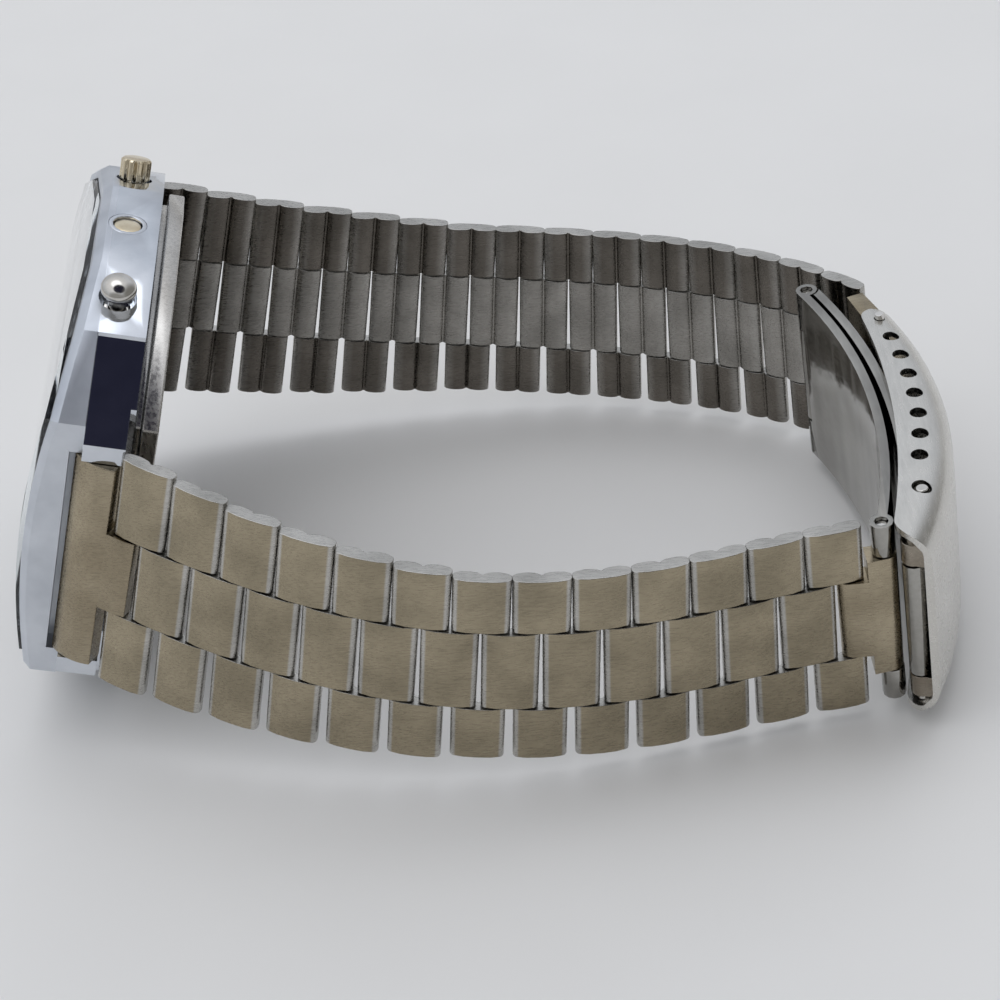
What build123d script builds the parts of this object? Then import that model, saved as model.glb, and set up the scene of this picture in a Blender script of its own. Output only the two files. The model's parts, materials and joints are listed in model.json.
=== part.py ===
# Digital watch on a folded-link steel bracelet, lying on its side with the clasp shut.
# The loop of the bracelet is laid out on a sheet: u runs from the case to the clasp, v runs
# away from the viewer. The sheet bends up at both ends, and the links stand square on it.
import os
from math import asin, atan2, ceil, cos, hypot, pi, radians, sin, sqrt

from build123d import *

os.makedirs("parts", exist_ok=True)

# Bracelet
pitch = 4.25                   # from one outer pair to the next, along the hinge pins
near_pairs = 13                # outer pairs from the 6 o'clock lugs to the clasp
far_pairs = 15                 # outer pairs from the 12 o'clock lugs to the clasp
link_gap = 0.38                # open space between two outer links in a row
link_rise = 1.0                # hinge pin to the crown of the outer face
link_shoulder = 0.84           # hinge pin to the edge of the outer face
row_gap = 0.12                 # running space between the rows
middle_width = 6.7             # width of the middle row
band_width_case = 20.0         # over the outer rows beside the case
band_width_clasp = 16.0        # over the outer rows beside the clasp
taper_pairs = 7                # outer pairs over which the band narrows
pin_radius = 0.36
pin_clearance = 0.1            # around a hinge pin, over its radius
pin_inset = 0.6                # how far a pin stays inside the band's edges
barrel_steps = 3               # flats on the underside of a link's barrel
flat_length = 0.45             # length of the flats that stand for small rounds
small_radius = 1.5             # rounds above this are true circles

# How the watch lies
case_lean = 17.5               # degrees, lean of the case at the start of the sheet
arch_radius = 151.5            # bend of the sheet
case_turn = 3.3                # degrees, turn of the case on the sheet
near_chord_share = 0.9745      # straight distance over length along the near half
far_chord_share = 0.907        # the same for the far half
near_bow_shares = (0, 1, 1.6, 1.5, 0.5, -2.4)          # how the near half's bend is spread
far_bow_shares = (0.1, 0.9, 2.4, 4.9, 6.8, 8.2)        # how the far half's bend is spread
far_end_turns = (24, 24)       # degrees, extra bend at the far half's first and last hinges

# Case
case_width = 34.4              # 9 o'clock to 3 o'clock side, without the pushers
side_flat = 10.2               # flat of the 3 o'clock side
shoulder_length = 23.2         # along the 12 to 6 line, over the pusher facets
shoulder_width = 30.4          # across the case at the ends of the pusher facets
bezel_length = 35.0            # front of the case along the 12 to 6 line
tip_width = 22.6               # across the lugs at their tips
case_length = 36.8             # over the lug tips
lug_width = 18.0               # between the lugs
lug_height = 3.3               # thickness of the lugs
case_height = 6.7              # mid-case from its back plane to the middle of its front
front_radius = 62.0            # the front is a cylinder along the 12 to 6 line
case_round = 0.5
bar_span = 34.8                # between the two lug spring bars
bar_height = 2.0               # from the back plane of the mid-case to the spring bars
end_link_reach = 2.9           # spring bar to the first hinge pin
sheet_depth = 0.6              # from the back plane of the mid-case to the sheet's origin
back_gap = 0.5                 # shadow gap between the mid-case and the rim of the back
back_rim = 1.2                 # thickness of the rim of the back
back_inset = 1.5               # rim of the back inside the mid-case's outline
back_neck_inset = 2.4          # neck of the back inside the mid-case's outline
boss_height = 0.8              # snap ring of the back, inside the mid-case
boss_thick = 0.65
case_wall = 4.3                # mid-case around the display module
module_fit = 0.1               # around the module, the snap ring and the dial frame
gasket_gap = 0.3               # from the edge of the neck to the gasket of the back
gasket_width = 0.7
gasket_thick = 0.35
crystal_inset = 1.3            # edge of the crystal inside the case's outline
crystal_seal = 0.25            # sealing ring around the crystal
crystal_thick = 1.1
crystal_proud = 0.35           # crystal above the metal around it
crystal_ledge = 0.9            # ledge that carries the crystal
lug_step = 0.3                 # outer faces of the lugs inside the facets above them
recess_edge = 31.8             # between the recesses of the two end links
recess_height = 4.2
lug_foot = 0.4                 # back faces of the lugs, from the back plane of the mid-case

# Pushers and the flush button on the 3 o'clock side
button_height = 2.3            # from the back plane to the buttons' axes
pusher_radius = 1.28
pusher_reach = 1.7             # head above its facet
pusher_travel = 0.8
pusher_fit = 0.06              # around a pusher's head and stem
stem_radius = 0.55
flush_radius = 1.0
flush_ring_radius = 1.4
flush_recess = 0.12
flush_travel = 0.5
pusher_edge = 0.25             # rounded edge of the plain pusher's head
pusher_dome = 0.7              # height of the domed pusher's cap
socket_depth = 1.1             # pocket of a button's head in the case
spring_depth = 1.5             # pocket of a button's spring, under the head's pocket
spring_radius = 0.95
spring_fit = 0.05
clip_radius = 0.95             # ring that holds a button's stem from the inside
clip_thick = 0.3
clip_gap = 0.02
groove_radius = 0.4
stem_end = 0.3                 # stem beyond its ring
seal_thick = 0.5
seal_gap = 0.01                # around a stem's sealing ring
seal_depth = 3.4               # sealing ring below the facet

# Display module, in layers from the back plane of the mid-case
strap_thick = 0.15
strap_length = 14.0
strap_width = 2.6
cell_radius = 4.75
cell_thick = 1.6
cell_fit = 0.1
cell_place = (-5.6, -6.2)      # cell's centre, to 6 o'clock and to 3 o'clock
board_length = 15.0            # along the 12 to 6 line
board_width = 19.0
board_thick = 0.6
board_height = 1.2
module_top = 3.7
display_thick = 1.3
display_length = 13.0
display_width = 21.0
dial_thick = 0.4
window_height = 10.4           # opening of the dial frame
window_span = 18.4
panel_fit = 0.08

# Clasp, placed from the hinge that joins it to the near half
clasp_heading = 82.8           # degrees on the sheet, from the near hinge to the far band's bar
clasp_length = 24.8            # near hinge to the spring bar of the far half
cover_hinge_back = 0.95        # cover hinge behind the near hinge
cover_hinge_out = 2.05         # cover hinge outside the near hinge
fold_hinge_along = 30.1        # fold hinge from the near hinge, along the clasp
fold_hinge_in = 5.7            # fold hinge inside the near hinge
inner_bow = 2.4                # how far the inner blade curves out from its chord
middle_bow = 2.4               # the same for the middle blade
fold_blade_angle = 30          # degrees, slope of the blades at the fold hinge
blade_thick = 0.7
blade_width = 15.6
knuckle_radius = 0.85
clasp_pin_radius = 0.42
clasp_pin_fit = 0.05
knuckle_gap = 0.12
near_head_width = 10.2         # head of the clasp end link between the inner blade's knuckles
fold_knuckle_width = 8.6       # middle blade's knuckle at the fold hinge
cover_knuckle_width = 9.8      # middle blade's knuckle at the cover hinge
cover_width = 18.2
cover_wall = 0.8
cover_plate = 0.7
cover_crown = 5.45             # top of the cover outside the near hinge
cover_crown_along = 9.5
cover_near_end = 2.7           # cover's near end, behind the near hinge
cover_near_out = 4.0
cover_far_over = 1.7           # cover's far end, past the far band's bar
cover_far_out = 1.2
hole_count = 7
hole_radius = 0.62
latch_along = 3.3
latch_out = 2.8
latch_radius = 0.45
near_clasp_link_reach = 2.6    # last hinge pin of the near half to the near hinge
far_clasp_link_reach = 5.7     # last hinge pin of the far half to the far band's bar
bar_radius = 0.5               # body of a spring bar
bar_tip_radius = 0.35
bar_tip = 0.8
bar_fit = 0.12                 # around a spring bar
far_tube_radius = 0.8
far_link_out = 0.5             # outer face of the far band's clasp link above its hinge line
far_head_width = 15.6
lug_clearance = 0.08           # beside the case end links
end_link_tail = 1.6            # end link's plate beyond the spring bar
end_link_edge = 0.8
end_link_rise = 1.3
end_link_foot = 0.45
end_link_barrel = 1.05
knuckle_clear = 0.12           # around a neighbour's knuckle
window_shift = 0.3
window_length = 3.4
window_width = 9.0
wall_start = -0.4              # near end of the side walls' inner edge
wall_near_depth = 3.1
wall_depth = 4.3               # side walls, down from the cover's crown
wall_far_back = 0.9
wall_far_depth = 2.7
wall_corner = 0.9
hole_pitch = 2.55
hole_row_out = 2.8             # adjusting holes outside the near hinge, under the crown
cover_round = 0.35

cut_over = 1.0                 # overrun of every cut

half_pitch = pitch / 2
edge_x = (pitch - link_gap) / 2
pin_x = half_pitch / 2
barrel = edge_x - pin_x


# The sheet
def lean_at(u):
    return radians(case_lean) - u / arch_radius


def width_dir(u):
    return Vector(sin(lean_at(u)), 0, cos(lean_at(u)))


def on_sheet(u, v):
    start = radians(case_lean)
    lean = lean_at(u)
    return Vector(arch_radius * (sin(start) - sin(lean)), v, arch_radius * (cos(start) - cos(lean)))


def plane_between(start, end):
    """Plane halfway from one place on the sheet to another, square to the sheet."""
    first, last = on_sheet(*start), on_sheet(*end)
    return Plane(origin=(first + last) / 2, x_dir=last - first,
                 z_dir=square_to(width_dir((start[0] + end[0]) / 2), last - first))


def plane_at(place, heading):
    """Plane at one place on the sheet, its X along a heading in degrees."""
    lean = lean_at(place[0])
    turn = radians(heading)
    along = Vector(cos(turn) * cos(lean), sin(turn), -cos(turn) * sin(lean))
    return Plane(origin=on_sheet(*place), x_dir=along, z_dir=width_dir(place[0]))


def square_to(direction, along):
    unit = along.normalized()
    return direction - unit * direction.dot(unit)


# The loop of the bracelet
def share_at(shares, part):
    place = part * (len(shares) - 1)
    step = min(int(place), len(shares) - 2)
    return shares[step] + (shares[step + 1] - shares[step]) * (place - step)


def chain(lengths, shares, turn, end_turns):
    u, v, heading = 0, 0, 0
    places = [(u, v)]
    for index, length in enumerate(lengths):
        if index == 1:
            heading += end_turns[0]
        if index == len(lengths) - 1:
            heading += end_turns[1]
        if index:
            heading += turn * share_at(shares, (index - 1) / (len(lengths) - 2))
        u += length * cos(heading)
        v += length * sin(heading)
        places.append((u, v))
    return places


def chain_between(start, end, lengths, shares, side, end_turns=(0, 0)):
    """Bend a chain evenly by its shares until its ends lie as far apart as the two places."""
    chord = hypot(end[0] - start[0], end[1] - start[1])
    low, high = 0, radians(9)
    turns = [radians(turn) for turn in end_turns]
    for _ in range(50):
        turn = (low + high) / 2
        last = chain(lengths, shares, turn, turns)[-1]
        low, high = (turn, high) if hypot(*last) > chord else (low, turn)
    places = chain(lengths, shares, side * low, [side * turn for turn in turns])
    spin = atan2(end[1] - start[1], end[0] - start[0]) - atan2(places[-1][1], places[-1][0])
    return [(start[0] + u * cos(spin) - v * sin(spin), start[1] + u * sin(spin) + v * cos(spin))
            for u, v in places]


turn_case = radians(case_turn)
bar_back = -(bar_height + sheet_depth)
near_bar = (bar_back * cos(turn_case) + bar_span / 2 * sin(turn_case),
            bar_back * sin(turn_case) - bar_span / 2 * cos(turn_case))
far_bar = (bar_back * cos(turn_case) - bar_span / 2 * sin(turn_case),
           bar_back * sin(turn_case) + bar_span / 2 * cos(turn_case))
near_lengths = [end_link_reach] + [half_pitch] * (2 * near_pairs - 1) + [near_clasp_link_reach]
far_lengths = [end_link_reach] + [half_pitch] * (2 * far_pairs - 1) + [far_clasp_link_reach]
near_chord = near_chord_share * sum(near_lengths)
far_chord = far_chord_share * sum(far_lengths)
clasp_turn = radians(clasp_heading)
clasp_step = (clasp_length * cos(clasp_turn), clasp_length * sin(clasp_turn))


def meeting_place(first, reach, second, other_reach):
    """Where two arms from two places meet, on the side away from the case."""
    du, dv = second[0] - first[0], second[1] - first[1]
    span = hypot(du, dv)
    along = (span ** 2 + reach ** 2 - other_reach ** 2) / (2 * span)
    off = sqrt(reach ** 2 - along ** 2)
    return (first[0] + (du * along + dv * off) / span, first[1] + (dv * along - du * off) / span)


near_hinge = meeting_place(near_bar, near_chord,
                           (far_bar[0] - clasp_step[0], far_bar[1] - clasp_step[1]), far_chord)
far_hinge = (near_hinge[0] + clasp_step[0], near_hinge[1] + clasp_step[1])
near_places = chain_between(near_bar, near_hinge, near_lengths, near_bow_shares, 1)
far_places = chain_between(far_bar, far_hinge, far_lengths, far_bow_shares, -1, far_end_turns)

case_plane_base = plane_at((0, 0), case_turn)
case_back_dir = case_plane_base.x_dir
# Case plane: origin in the back plane of the mid-case, X to 6 o'clock, Y to 3 o'clock, Z to the front
case_plane = Plane(origin=case_plane_base.origin - case_back_dir * sheet_depth,
                   x_dir=case_back_dir.cross(case_plane_base.z_dir), z_dir=case_back_dir * -1)
# Clasp plane: origin on the near hinge, X to the far half, Y away from the wrist
clasp_base = plane_at(near_hinge, clasp_heading)
clasp_plane = Plane(origin=clasp_base.origin, x_dir=clasp_base.x_dir, z_dir=clasp_base.z_dir * -1)

pieces = {}


def keep(name, part):
    part.label = name
    pieces[name] = part


def band_width(pair):
    taper = min(pair / (taper_pairs - 1), 1)
    return band_width_case + (band_width_clasp - band_width_case) * taper


def round_face(radius, hole=False, mode=Mode.ADD):
    """Circle, or for a small round a face with flats that stays clear on its pin or in its hole."""
    if radius > small_radius:
        return Circle(radius, mode=mode)
    half_flats = ceil(pi * radius / flat_length)
    return RegularPolygon(radius, 2 * half_flats, major_radius=not hole, mode=mode)


# Folded links: a domed outer face over two barrels, one around each hinge pin
def barrel_points(centre, out):
    """Underside of one barrel in flat steps, from its clasp side round to its case side."""
    turns = [pi * step / barrel_steps for step in range(barrel_steps + 1)]
    return [(centre + barrel * cos(turn), -out * barrel * sin(turn)) for turn in turns]


def link_outline(out):
    with BuildLine() as outline:
        ThreePointArc((-edge_x, out * link_shoulder), (0, out * link_rise), (edge_x, out * link_shoulder))
        Polyline((edge_x, out * link_shoulder), *barrel_points(pin_x, out), *barrel_points(-pin_x, out),
                 (-edge_x, out * link_shoulder))
    return outline.line


def add_link(plane, out, low, high, with_bore):
    with BuildSketch(plane.offset(low)) as face:
        add(link_outline(out))
        make_face()
        if with_bore:
            with Locations((-pin_x, 0)):
                round_face(pin_radius + pin_clearance, True, Mode.SUBTRACT)
    extrude(face.sketch, amount=high - low)


def add_rod(plane, radius, low, high, place=(0, 0)):
    with BuildSketch(plane.offset(low)) as face:
        with Locations(place):
            round_face(radius)
    extrude(face.sketch, amount=high - low)


def make_links(name, places, pair, out, with_middle):
    """One outer pair and the middle link after it, riveted to their two hinge pins."""
    first = 2 * pair + 1
    outer_plane = plane_between(places[first], places[first + 1])
    half_band = band_width(pair) / 2
    with BuildPart() as links:
        for side in (1, -1):
            inner_edge, outer_edge = side * (middle_width / 2 + row_gap), side * half_band
            add_link(outer_plane, out, min(inner_edge, outer_edge), max(inner_edge, outer_edge), True)
        if with_middle:
            middle_plane = plane_between(places[first + 1], places[first + 2])
            add_link(middle_plane, out, -middle_width / 2, middle_width / 2, False)
        for step in ((1, 2) if with_middle else (1,)):
            half_pin = band_width(pair + step - 1) / 2 - pin_inset
            add_rod(plane_at(places[first + step], 0), pin_radius, -half_pin, half_pin)
    keep(name, links.part)


def make_end_link(name, places, out):
    """Case end link: a full-width plate over the spring bar with a middle tongue."""
    plane = plane_between(places[0], places[1])
    bar_x, pin_place = -end_link_reach / 2, end_link_reach / 2
    notch = pin_place - barrel - link_gap
    tail = bar_x - end_link_tail
    half_width = lug_width / 2 - lug_clearance
    with BuildPart() as end_link:
        with BuildSketch(plane.offset(-half_width)):
            with BuildLine():
                ThreePointArc((tail, out * end_link_edge), (bar_x, out * end_link_rise),
                              (notch, out * link_rise))
                Line((notch, out * link_rise), (notch, -out * end_link_foot))
                ThreePointArc((notch, -out * end_link_foot), (bar_x, -out * end_link_barrel),
                              (bar_x - end_link_barrel, 0))
                Line((bar_x - end_link_barrel, 0), (tail, out * end_link_foot))
                Line((tail, out * end_link_foot), (tail, out * end_link_edge))
            make_face()
            with Locations((bar_x, 0)):
                round_face(bar_radius + bar_fit, True, mode=Mode.SUBTRACT)
        extrude(amount=2 * half_width)
        with BuildSketch(plane.offset(-middle_width / 2)):
            with BuildLine():
                Polyline((notch - end_link_foot, out * link_rise), (pin_place, out * link_rise),
                         (pin_place + barrel, out * link_shoulder), (pin_place + barrel, 0))
                ThreePointArc((pin_place + barrel, 0), (pin_place, -out * barrel), (notch, -out * end_link_foot))
                Polyline((notch, -out * end_link_foot), (notch - end_link_foot, -out * end_link_foot),
                         (notch - end_link_foot, out * link_rise))
            make_face()
        extrude(amount=middle_width)
        half_pin = band_width(0) / 2 - pin_inset
        add_rod(plane_at(places[1], 0), pin_radius, -half_pin, half_pin)
    keep(name, end_link.part)


def add_hole(plane, radius, half_length, place):
    with BuildSketch(plane.offset(-half_length - cut_over)) as face:
        with Locations(place):
            round_face(radius, True)
    extrude(face.sketch, amount=2 * (half_length + cut_over), mode=Mode.SUBTRACT)


def make_clasp_end(name, places, out, reach, radius, bore, head_width, thick_out, open_bore):
    """Link between a band's last outer pair and the clasp: a tongue and a wide head."""
    plane = plane_between(places[-2], places[-1])
    pin_place, head_place = -reach / 2, reach / 2
    notch = pin_place + barrel + link_gap
    with BuildPart() as end:
        for low, high, start in ((-middle_width / 2, middle_width / 2, pin_place),
                                 (-head_width / 2, head_width / 2, notch)):
            with BuildSketch(plane.offset(low)):
                with BuildLine():
                    if start == pin_place:
                        Polyline((head_place, -out * radius), (pin_place, -out * barrel))
                        ThreePointArc((pin_place, -out * barrel), (pin_place - barrel, 0),
                                      (pin_place, out * barrel))
                        Line((pin_place, out * barrel), (notch, out * thick_out))
                    else:
                        Polyline((head_place, -out * radius), (notch, -out * radius), (notch, out * thick_out))
                    Line((notch, out * thick_out), (head_place, out * radius))
                    ThreePointArc((head_place, out * radius), (head_place + radius, 0),
                                  (head_place, -out * radius))
                make_face()
            extrude(amount=high - low)
        add_hole(plane, pin_radius + pin_clearance, middle_width / 2, (pin_place, 0))
        add_hole(plane, bore, head_width / 2, (head_place, 0))
        if open_bore:
            with BuildSketch(plane.offset(-head_width / 2 - cut_over)):
                with Locations((head_place + radius, 0)):
                    Rectangle(2 * radius, 2 * radius + cut_over)
            extrude(amount=head_width + 2 * cut_over, mode=Mode.SUBTRACT)
    keep(name, end.part)


make_end_link("near_end_link", near_places, -1)
make_end_link("far_end_link", far_places, 1)
for pair in range(near_pairs):
    make_links(f"near_links_{pair + 1:02d}", near_places, pair, -1, pair < near_pairs - 1)
for pair in range(far_pairs):
    make_links(f"far_links_{pair + 1:02d}", far_places, pair, 1, pair < far_pairs - 1)
make_clasp_end("near_clasp_link", near_places, -1, near_clasp_link_reach, knuckle_radius,
               clasp_pin_radius + clasp_pin_fit, near_head_width, link_rise, False)
make_clasp_end("far_clasp_link", far_places, 1, far_clasp_link_reach, far_tube_radius,
               bar_radius + bar_fit, far_head_width, far_link_out, True)


# Clasp: two blades fold up under a cover
near_pin = (0, 0)
cover_pin = (-cover_hinge_back, cover_hinge_out)
fold_pin = (fold_hinge_along, -fold_hinge_in)
far_pin = (clasp_length, 0)
half_blade = blade_width / 2
blade_offset = knuckle_radius - blade_thick / 2
fold_turn = radians(fold_blade_angle)
inner_end = (fold_pin[0] - blade_offset * sin(fold_turn), fold_pin[1] - blade_offset * cos(fold_turn))
middle_end = (fold_pin[0] + blade_offset * sin(fold_turn), fold_pin[1] + blade_offset * cos(fold_turn))
middle_start = (cover_pin[0], cover_pin[1] - blade_offset)


def extrude_between(face, low, high, mode=Mode.ADD):
    """Extrude a sketch that stands on the clasp's middle plane across part of its width."""
    extrude(face.moved(Location(clasp_plane.z_dir * low)), amount=high - low, mode=mode)


def bowed(start, end, bow, thick):
    """Strip along an arc from one pin to another that bows away from the wrist."""
    du, dv = end[0] - start[0], end[1] - start[1]
    span = hypot(du, dv)
    radius = (span ** 2 / 4 + bow ** 2) / (2 * bow)
    normal = (-dv / span, du / span)
    crown = ((start[0] + end[0]) / 2 + normal[0] * bow, (start[1] + end[1]) / 2 + normal[1] * bow)
    centre = (crown[0] - normal[0] * radius, crown[1] - normal[1] * radius)
    sides = []
    for share in (1 + thick / 2 / radius, 1 - thick / 2 / radius):
        sides.append([(centre[0] + (u - centre[0]) * share, centre[1] + (v - centre[1]) * share)
                      for u, v in (start, crown, end)])
    with BuildSketch(clasp_plane) as strip:
        with BuildLine():
            ThreePointArc(*sides[0])
            Line(sides[0][2], sides[1][2])
            ThreePointArc(*sides[1])
            Line(sides[1][0], sides[0][0])
        make_face()
    return strip.sketch


def disc(place, radius, hole=False):
    with BuildSketch(clasp_plane) as face:
        with Locations(place):
            round_face(radius, hole)
    return face.sketch


def add_knuckles(place, spans, hole_radius):
    """Tubes on one pin across the given spans, with the pin's hole through them."""
    for low, high in spans:
        extrude_between(disc(place, knuckle_radius), low, high)
    low, high = min(span[0] for span in spans), max(span[1] for span in spans)
    extrude_between(disc(place, hole_radius, True), low - cut_over, high + cut_over, Mode.SUBTRACT)


def clear_knuckle(place, low, high):
    extrude_between(disc(place, knuckle_radius + knuckle_clear, True), low - knuckle_gap, high + knuckle_gap,
                    Mode.SUBTRACT)


pin_hole = clasp_pin_radius + clasp_pin_fit
half_head, half_fold, half_cover = near_head_width / 2, fold_knuckle_width / 2, cover_knuckle_width / 2
far_side, near_side = half_blade, -half_blade

with BuildPart() as inner_blade:
    extrude_between(bowed(near_pin, inner_end, inner_bow, blade_thick), -half_blade, half_blade)
    for place in (near_pin, fold_pin):
        extrude_between(disc(place, pin_hole, True), -half_blade - cut_over, half_blade + cut_over, Mode.SUBTRACT)
    clear_knuckle(near_pin, -half_head, half_head)
    clear_knuckle(fold_pin, -half_fold, half_fold)
    side_spans = ((half_head + knuckle_gap, half_blade), (-half_blade, -half_head - knuckle_gap))
    add_knuckles(near_pin, side_spans, pin_hole)
    side_spans = ((half_fold + knuckle_gap, half_blade), (-half_blade, -half_fold - knuckle_gap))
    add_knuckles(fold_pin, side_spans, pin_hole)
keep("inner_blade", inner_blade.part)

# The window lets the latch bar reach the inner blade's catch
with BuildPart() as middle_blade:
    extrude_between(bowed(middle_start, middle_end, middle_bow, blade_thick), -half_blade, half_blade)
    for low, high in ((half_fold, half_blade), (-half_blade, -half_fold)):
        clear_knuckle(fold_pin, low, high + cut_over)
    for low, high in ((half_cover, half_blade), (-half_blade, -half_cover)):
        clear_knuckle(cover_pin, low, high + cut_over)
    add_knuckles(fold_pin, ((-half_fold, half_fold),), pin_hole)
    add_knuckles(cover_pin, ((-half_cover, half_cover),), pin_hole)
    with BuildSketch(clasp_plane) as window:
        with Locations((latch_along + window_shift, latch_out)):
            Rectangle(window_length, 2 * window_length)
    extrude_between(window.sketch, -window_width / 2, window_width / 2, Mode.SUBTRACT)
keep("middle_blade", middle_blade.part)


# Cover: a curved plate with two side walls, rolled around its hinge pin at the near end
def cover_arc(inset):
    """Arc of the cover's outer face moved inwards, as its two ends and its crown."""
    near_end = (-cover_near_end, cover_near_out - inset)
    crown = (cover_crown_along, cover_crown - inset)
    far_end = (clasp_length + cover_far_over, cover_far_out - inset)
    return near_end, crown, far_end


def between_arcs(outer, inner):
    with BuildSketch(clasp_plane) as face:
        with BuildLine():
            ThreePointArc(*outer)
            Line(outer[2], inner[2])
            ThreePointArc(*inner)
            Line(inner[0], outer[0])
        make_face()
    return face.sketch


outer_arc, plate_arc = cover_arc(0), cover_arc(cover_plate)
wall_arc = ((wall_start, outer_arc[0][1] - wall_near_depth), (cover_crown_along, cover_crown - wall_depth),
            (outer_arc[2][0] - wall_far_back, outer_arc[2][1] - wall_far_depth))
half_width = cover_width / 2


def hole_place(index):
    """Places of the adjusting holes: on an arc through the far band's bar."""
    along = clasp_length - index * hole_pitch
    share = (along - clasp_length) / (cover_crown_along - clasp_length)
    return (along, hole_row_out * share * (2 - share))


with BuildPart() as clasp_cover:
    extrude_between(between_arcs(outer_arc, plate_arc), -half_width, half_width)
    with BuildSketch(clasp_plane) as wall:
        with BuildLine():
            ThreePointArc(outer_arc[0], outer_arc[1], outer_arc[2])
            Polyline(outer_arc[2], (outer_arc[2][0], wall_arc[2][1] + wall_corner), wall_arc[2])
            ThreePointArc(wall_arc[2], wall_arc[1], wall_arc[0])
            Line(wall_arc[0], outer_arc[0])
        make_face()
    for low, high in ((half_width - cover_wall, half_width), (-half_width, cover_wall - half_width)):
        extrude_between(wall.sketch, low, high)
    with BuildSketch(clasp_plane) as roll:
        with BuildLine():
            Polyline((-cover_near_end, cover_near_out - cover_plate / 2), (cover_pin[0] - knuckle_radius, cover_pin[1]),
                     cover_pin, (cover_pin[0], cover_near_out), (-cover_near_end, cover_near_out - cover_plate / 2))
        make_face()
    for low, high in ((half_cover + knuckle_gap, half_blade), (-half_blade, -half_cover - knuckle_gap)):
        extrude_between(roll.sketch, low, high)
        extrude_between(disc(cover_pin, knuckle_radius), low, high)
    extrude_between(disc(cover_pin, pin_hole, True), -half_width - cut_over, half_width + cut_over, Mode.SUBTRACT)
    with BuildSketch(clasp_plane) as holes:
        with Locations(*[hole_place(index + 1) for index in range(hole_count)]):
            round_face(hole_radius, True)
        with Locations(far_pin):
            round_face(bar_tip_radius + clasp_pin_fit, True)
        with Locations((latch_along, latch_out)):
            round_face(latch_radius)
    extrude_between(holes.sketch, -half_width - cut_over, half_width + cut_over, Mode.SUBTRACT)
keep("clasp_cover", clasp_cover.part)


def make_rod(name, place, radius, half_length):
    with BuildPart() as rod:
        extrude_between(disc(place, radius), -half_length, half_length)
    keep(name, rod.part)


make_rod("near_hinge_pin", near_pin, clasp_pin_radius, half_blade - pin_inset / 2)
make_rod("fold_hinge_pin", fold_pin, clasp_pin_radius, half_blade - pin_inset / 2)
make_rod("cover_hinge_pin", cover_pin, clasp_pin_radius, half_blade - pin_inset / 2)
make_rod("latch_bar", (latch_along, latch_out), latch_radius, half_width)

with BuildPart() as clasp_spring_bar:
    half_bar = half_width - cover_wall - lug_clearance
    extrude_between(disc(far_pin, bar_radius), -half_bar, half_bar)
    extrude_between(disc(far_pin, bar_tip_radius), -half_bar - bar_tip, half_bar + bar_tip)
keep("clasp_spring_bar", clasp_spring_bar.part)


# Case, on the case plane: x to 6 o'clock, y to 3 o'clock, heights to the front
front_plane = Plane(origin=case_plane.origin, x_dir=case_plane.y_dir, z_dir=case_plane.x_dir)
facet_slope = (shoulder_width - tip_width) / (bezel_length - shoulder_length)
lug_tip = tip_width / 2 - facet_slope * (case_length - bezel_length) / 2 - lug_step
case_corners = ((side_flat / 2, case_width / 2), (shoulder_length / 2, shoulder_width / 2))
front_corner = (bezel_length / 2, tip_width / 2)
lug_corners = ((shoulder_length / 2, shoulder_width / 2 - lug_step), (case_length / 2, lug_tip))


def outline(corners, height, inset=0):
    """Outline from the corners of one quarter, at a height above the back plane."""
    quarter = list(corners)
    other = [(x, -y) for x, y in reversed(quarter)]
    points = quarter + other + [(-x, -y) for x, y in quarter] + [(-x, -y) for x, y in other]
    with BuildSketch(case_plane.offset(height)) as face:
        with BuildLine():
            Polyline(*points, close=True)
        make_face()
        if inset:
            offset(amount=-inset, kind=Kind.INTERSECTION)
    return face.sketch


def case_face(height, inset):
    return outline(case_corners + (front_corner,), height, inset)


def slab(inset, low, high):
    """Plate with the case's outline between two flat heights."""
    with BuildPart() as plate:
        extrude(case_face(low, inset), amount=high - low)
    return plate.part


def curved_slab(inset, low, high):
    """Plate with the case's outline between two arcs parallel to the front, low and high from it."""
    half = case_width / 2
    centre = case_height - front_radius
    with BuildPart() as plate:
        extrude(case_face(0, inset), amount=case_height + high)
        with BuildSketch(front_plane) as band:
            with BuildLine():
                rims = []
                for step in (low, high):
                    radius = front_radius + step
                    rim = centre + sqrt(radius ** 2 - half ** 2)
                    rims.append(rim)
                    ThreePointArc((-half, rim), (0, centre + radius), (half, rim))
                Line((-half, rims[0]), (-half, rims[1]))
                Line((half, rims[0]), (half, rims[1]))
            make_face()
        extrude(band.sketch, amount=case_length / 2, both=True, mode=Mode.INTERSECT)
    return plate.part


def block(centre, size, low, high):
    """Box on the case plane between two heights."""
    with BuildPart() as box:
        with BuildSketch(case_plane.offset(low)) as face:
            with Locations(centre):
                Rectangle(*size)
        extrude(face.sketch, amount=high - low)
    return box.part


def round_block(centre, radius, low, high):
    with BuildPart() as disc_part:
        with BuildSketch(case_plane.offset(low)) as face:
            with Locations(centre):
                Circle(radius)
        extrude(face.sketch, amount=high - low)
    return disc_part.part


# Places of the buttons: on the flat and on the two facets beside it
facet_turn = atan2(case_corners[0][1] - case_corners[1][1], case_corners[1][0] - case_corners[0][0])
facet_middle = ((side_flat + shoulder_length) / 4, (case_width + shoulder_width) / 4)


def button_plane(place, turn):
    """Plane on the case's side at a button, its Z out of the metal."""
    outward = case_plane.x_dir * sin(turn) + case_plane.y_dir * cos(turn)
    along = case_plane.x_dir * cos(turn) - case_plane.y_dir * sin(turn)
    centre = (case_plane.origin + case_plane.x_dir * place[0] + case_plane.y_dir * place[1]
              + case_plane.z_dir * button_height)
    return Plane(origin=centre, x_dir=along, z_dir=outward)


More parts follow.
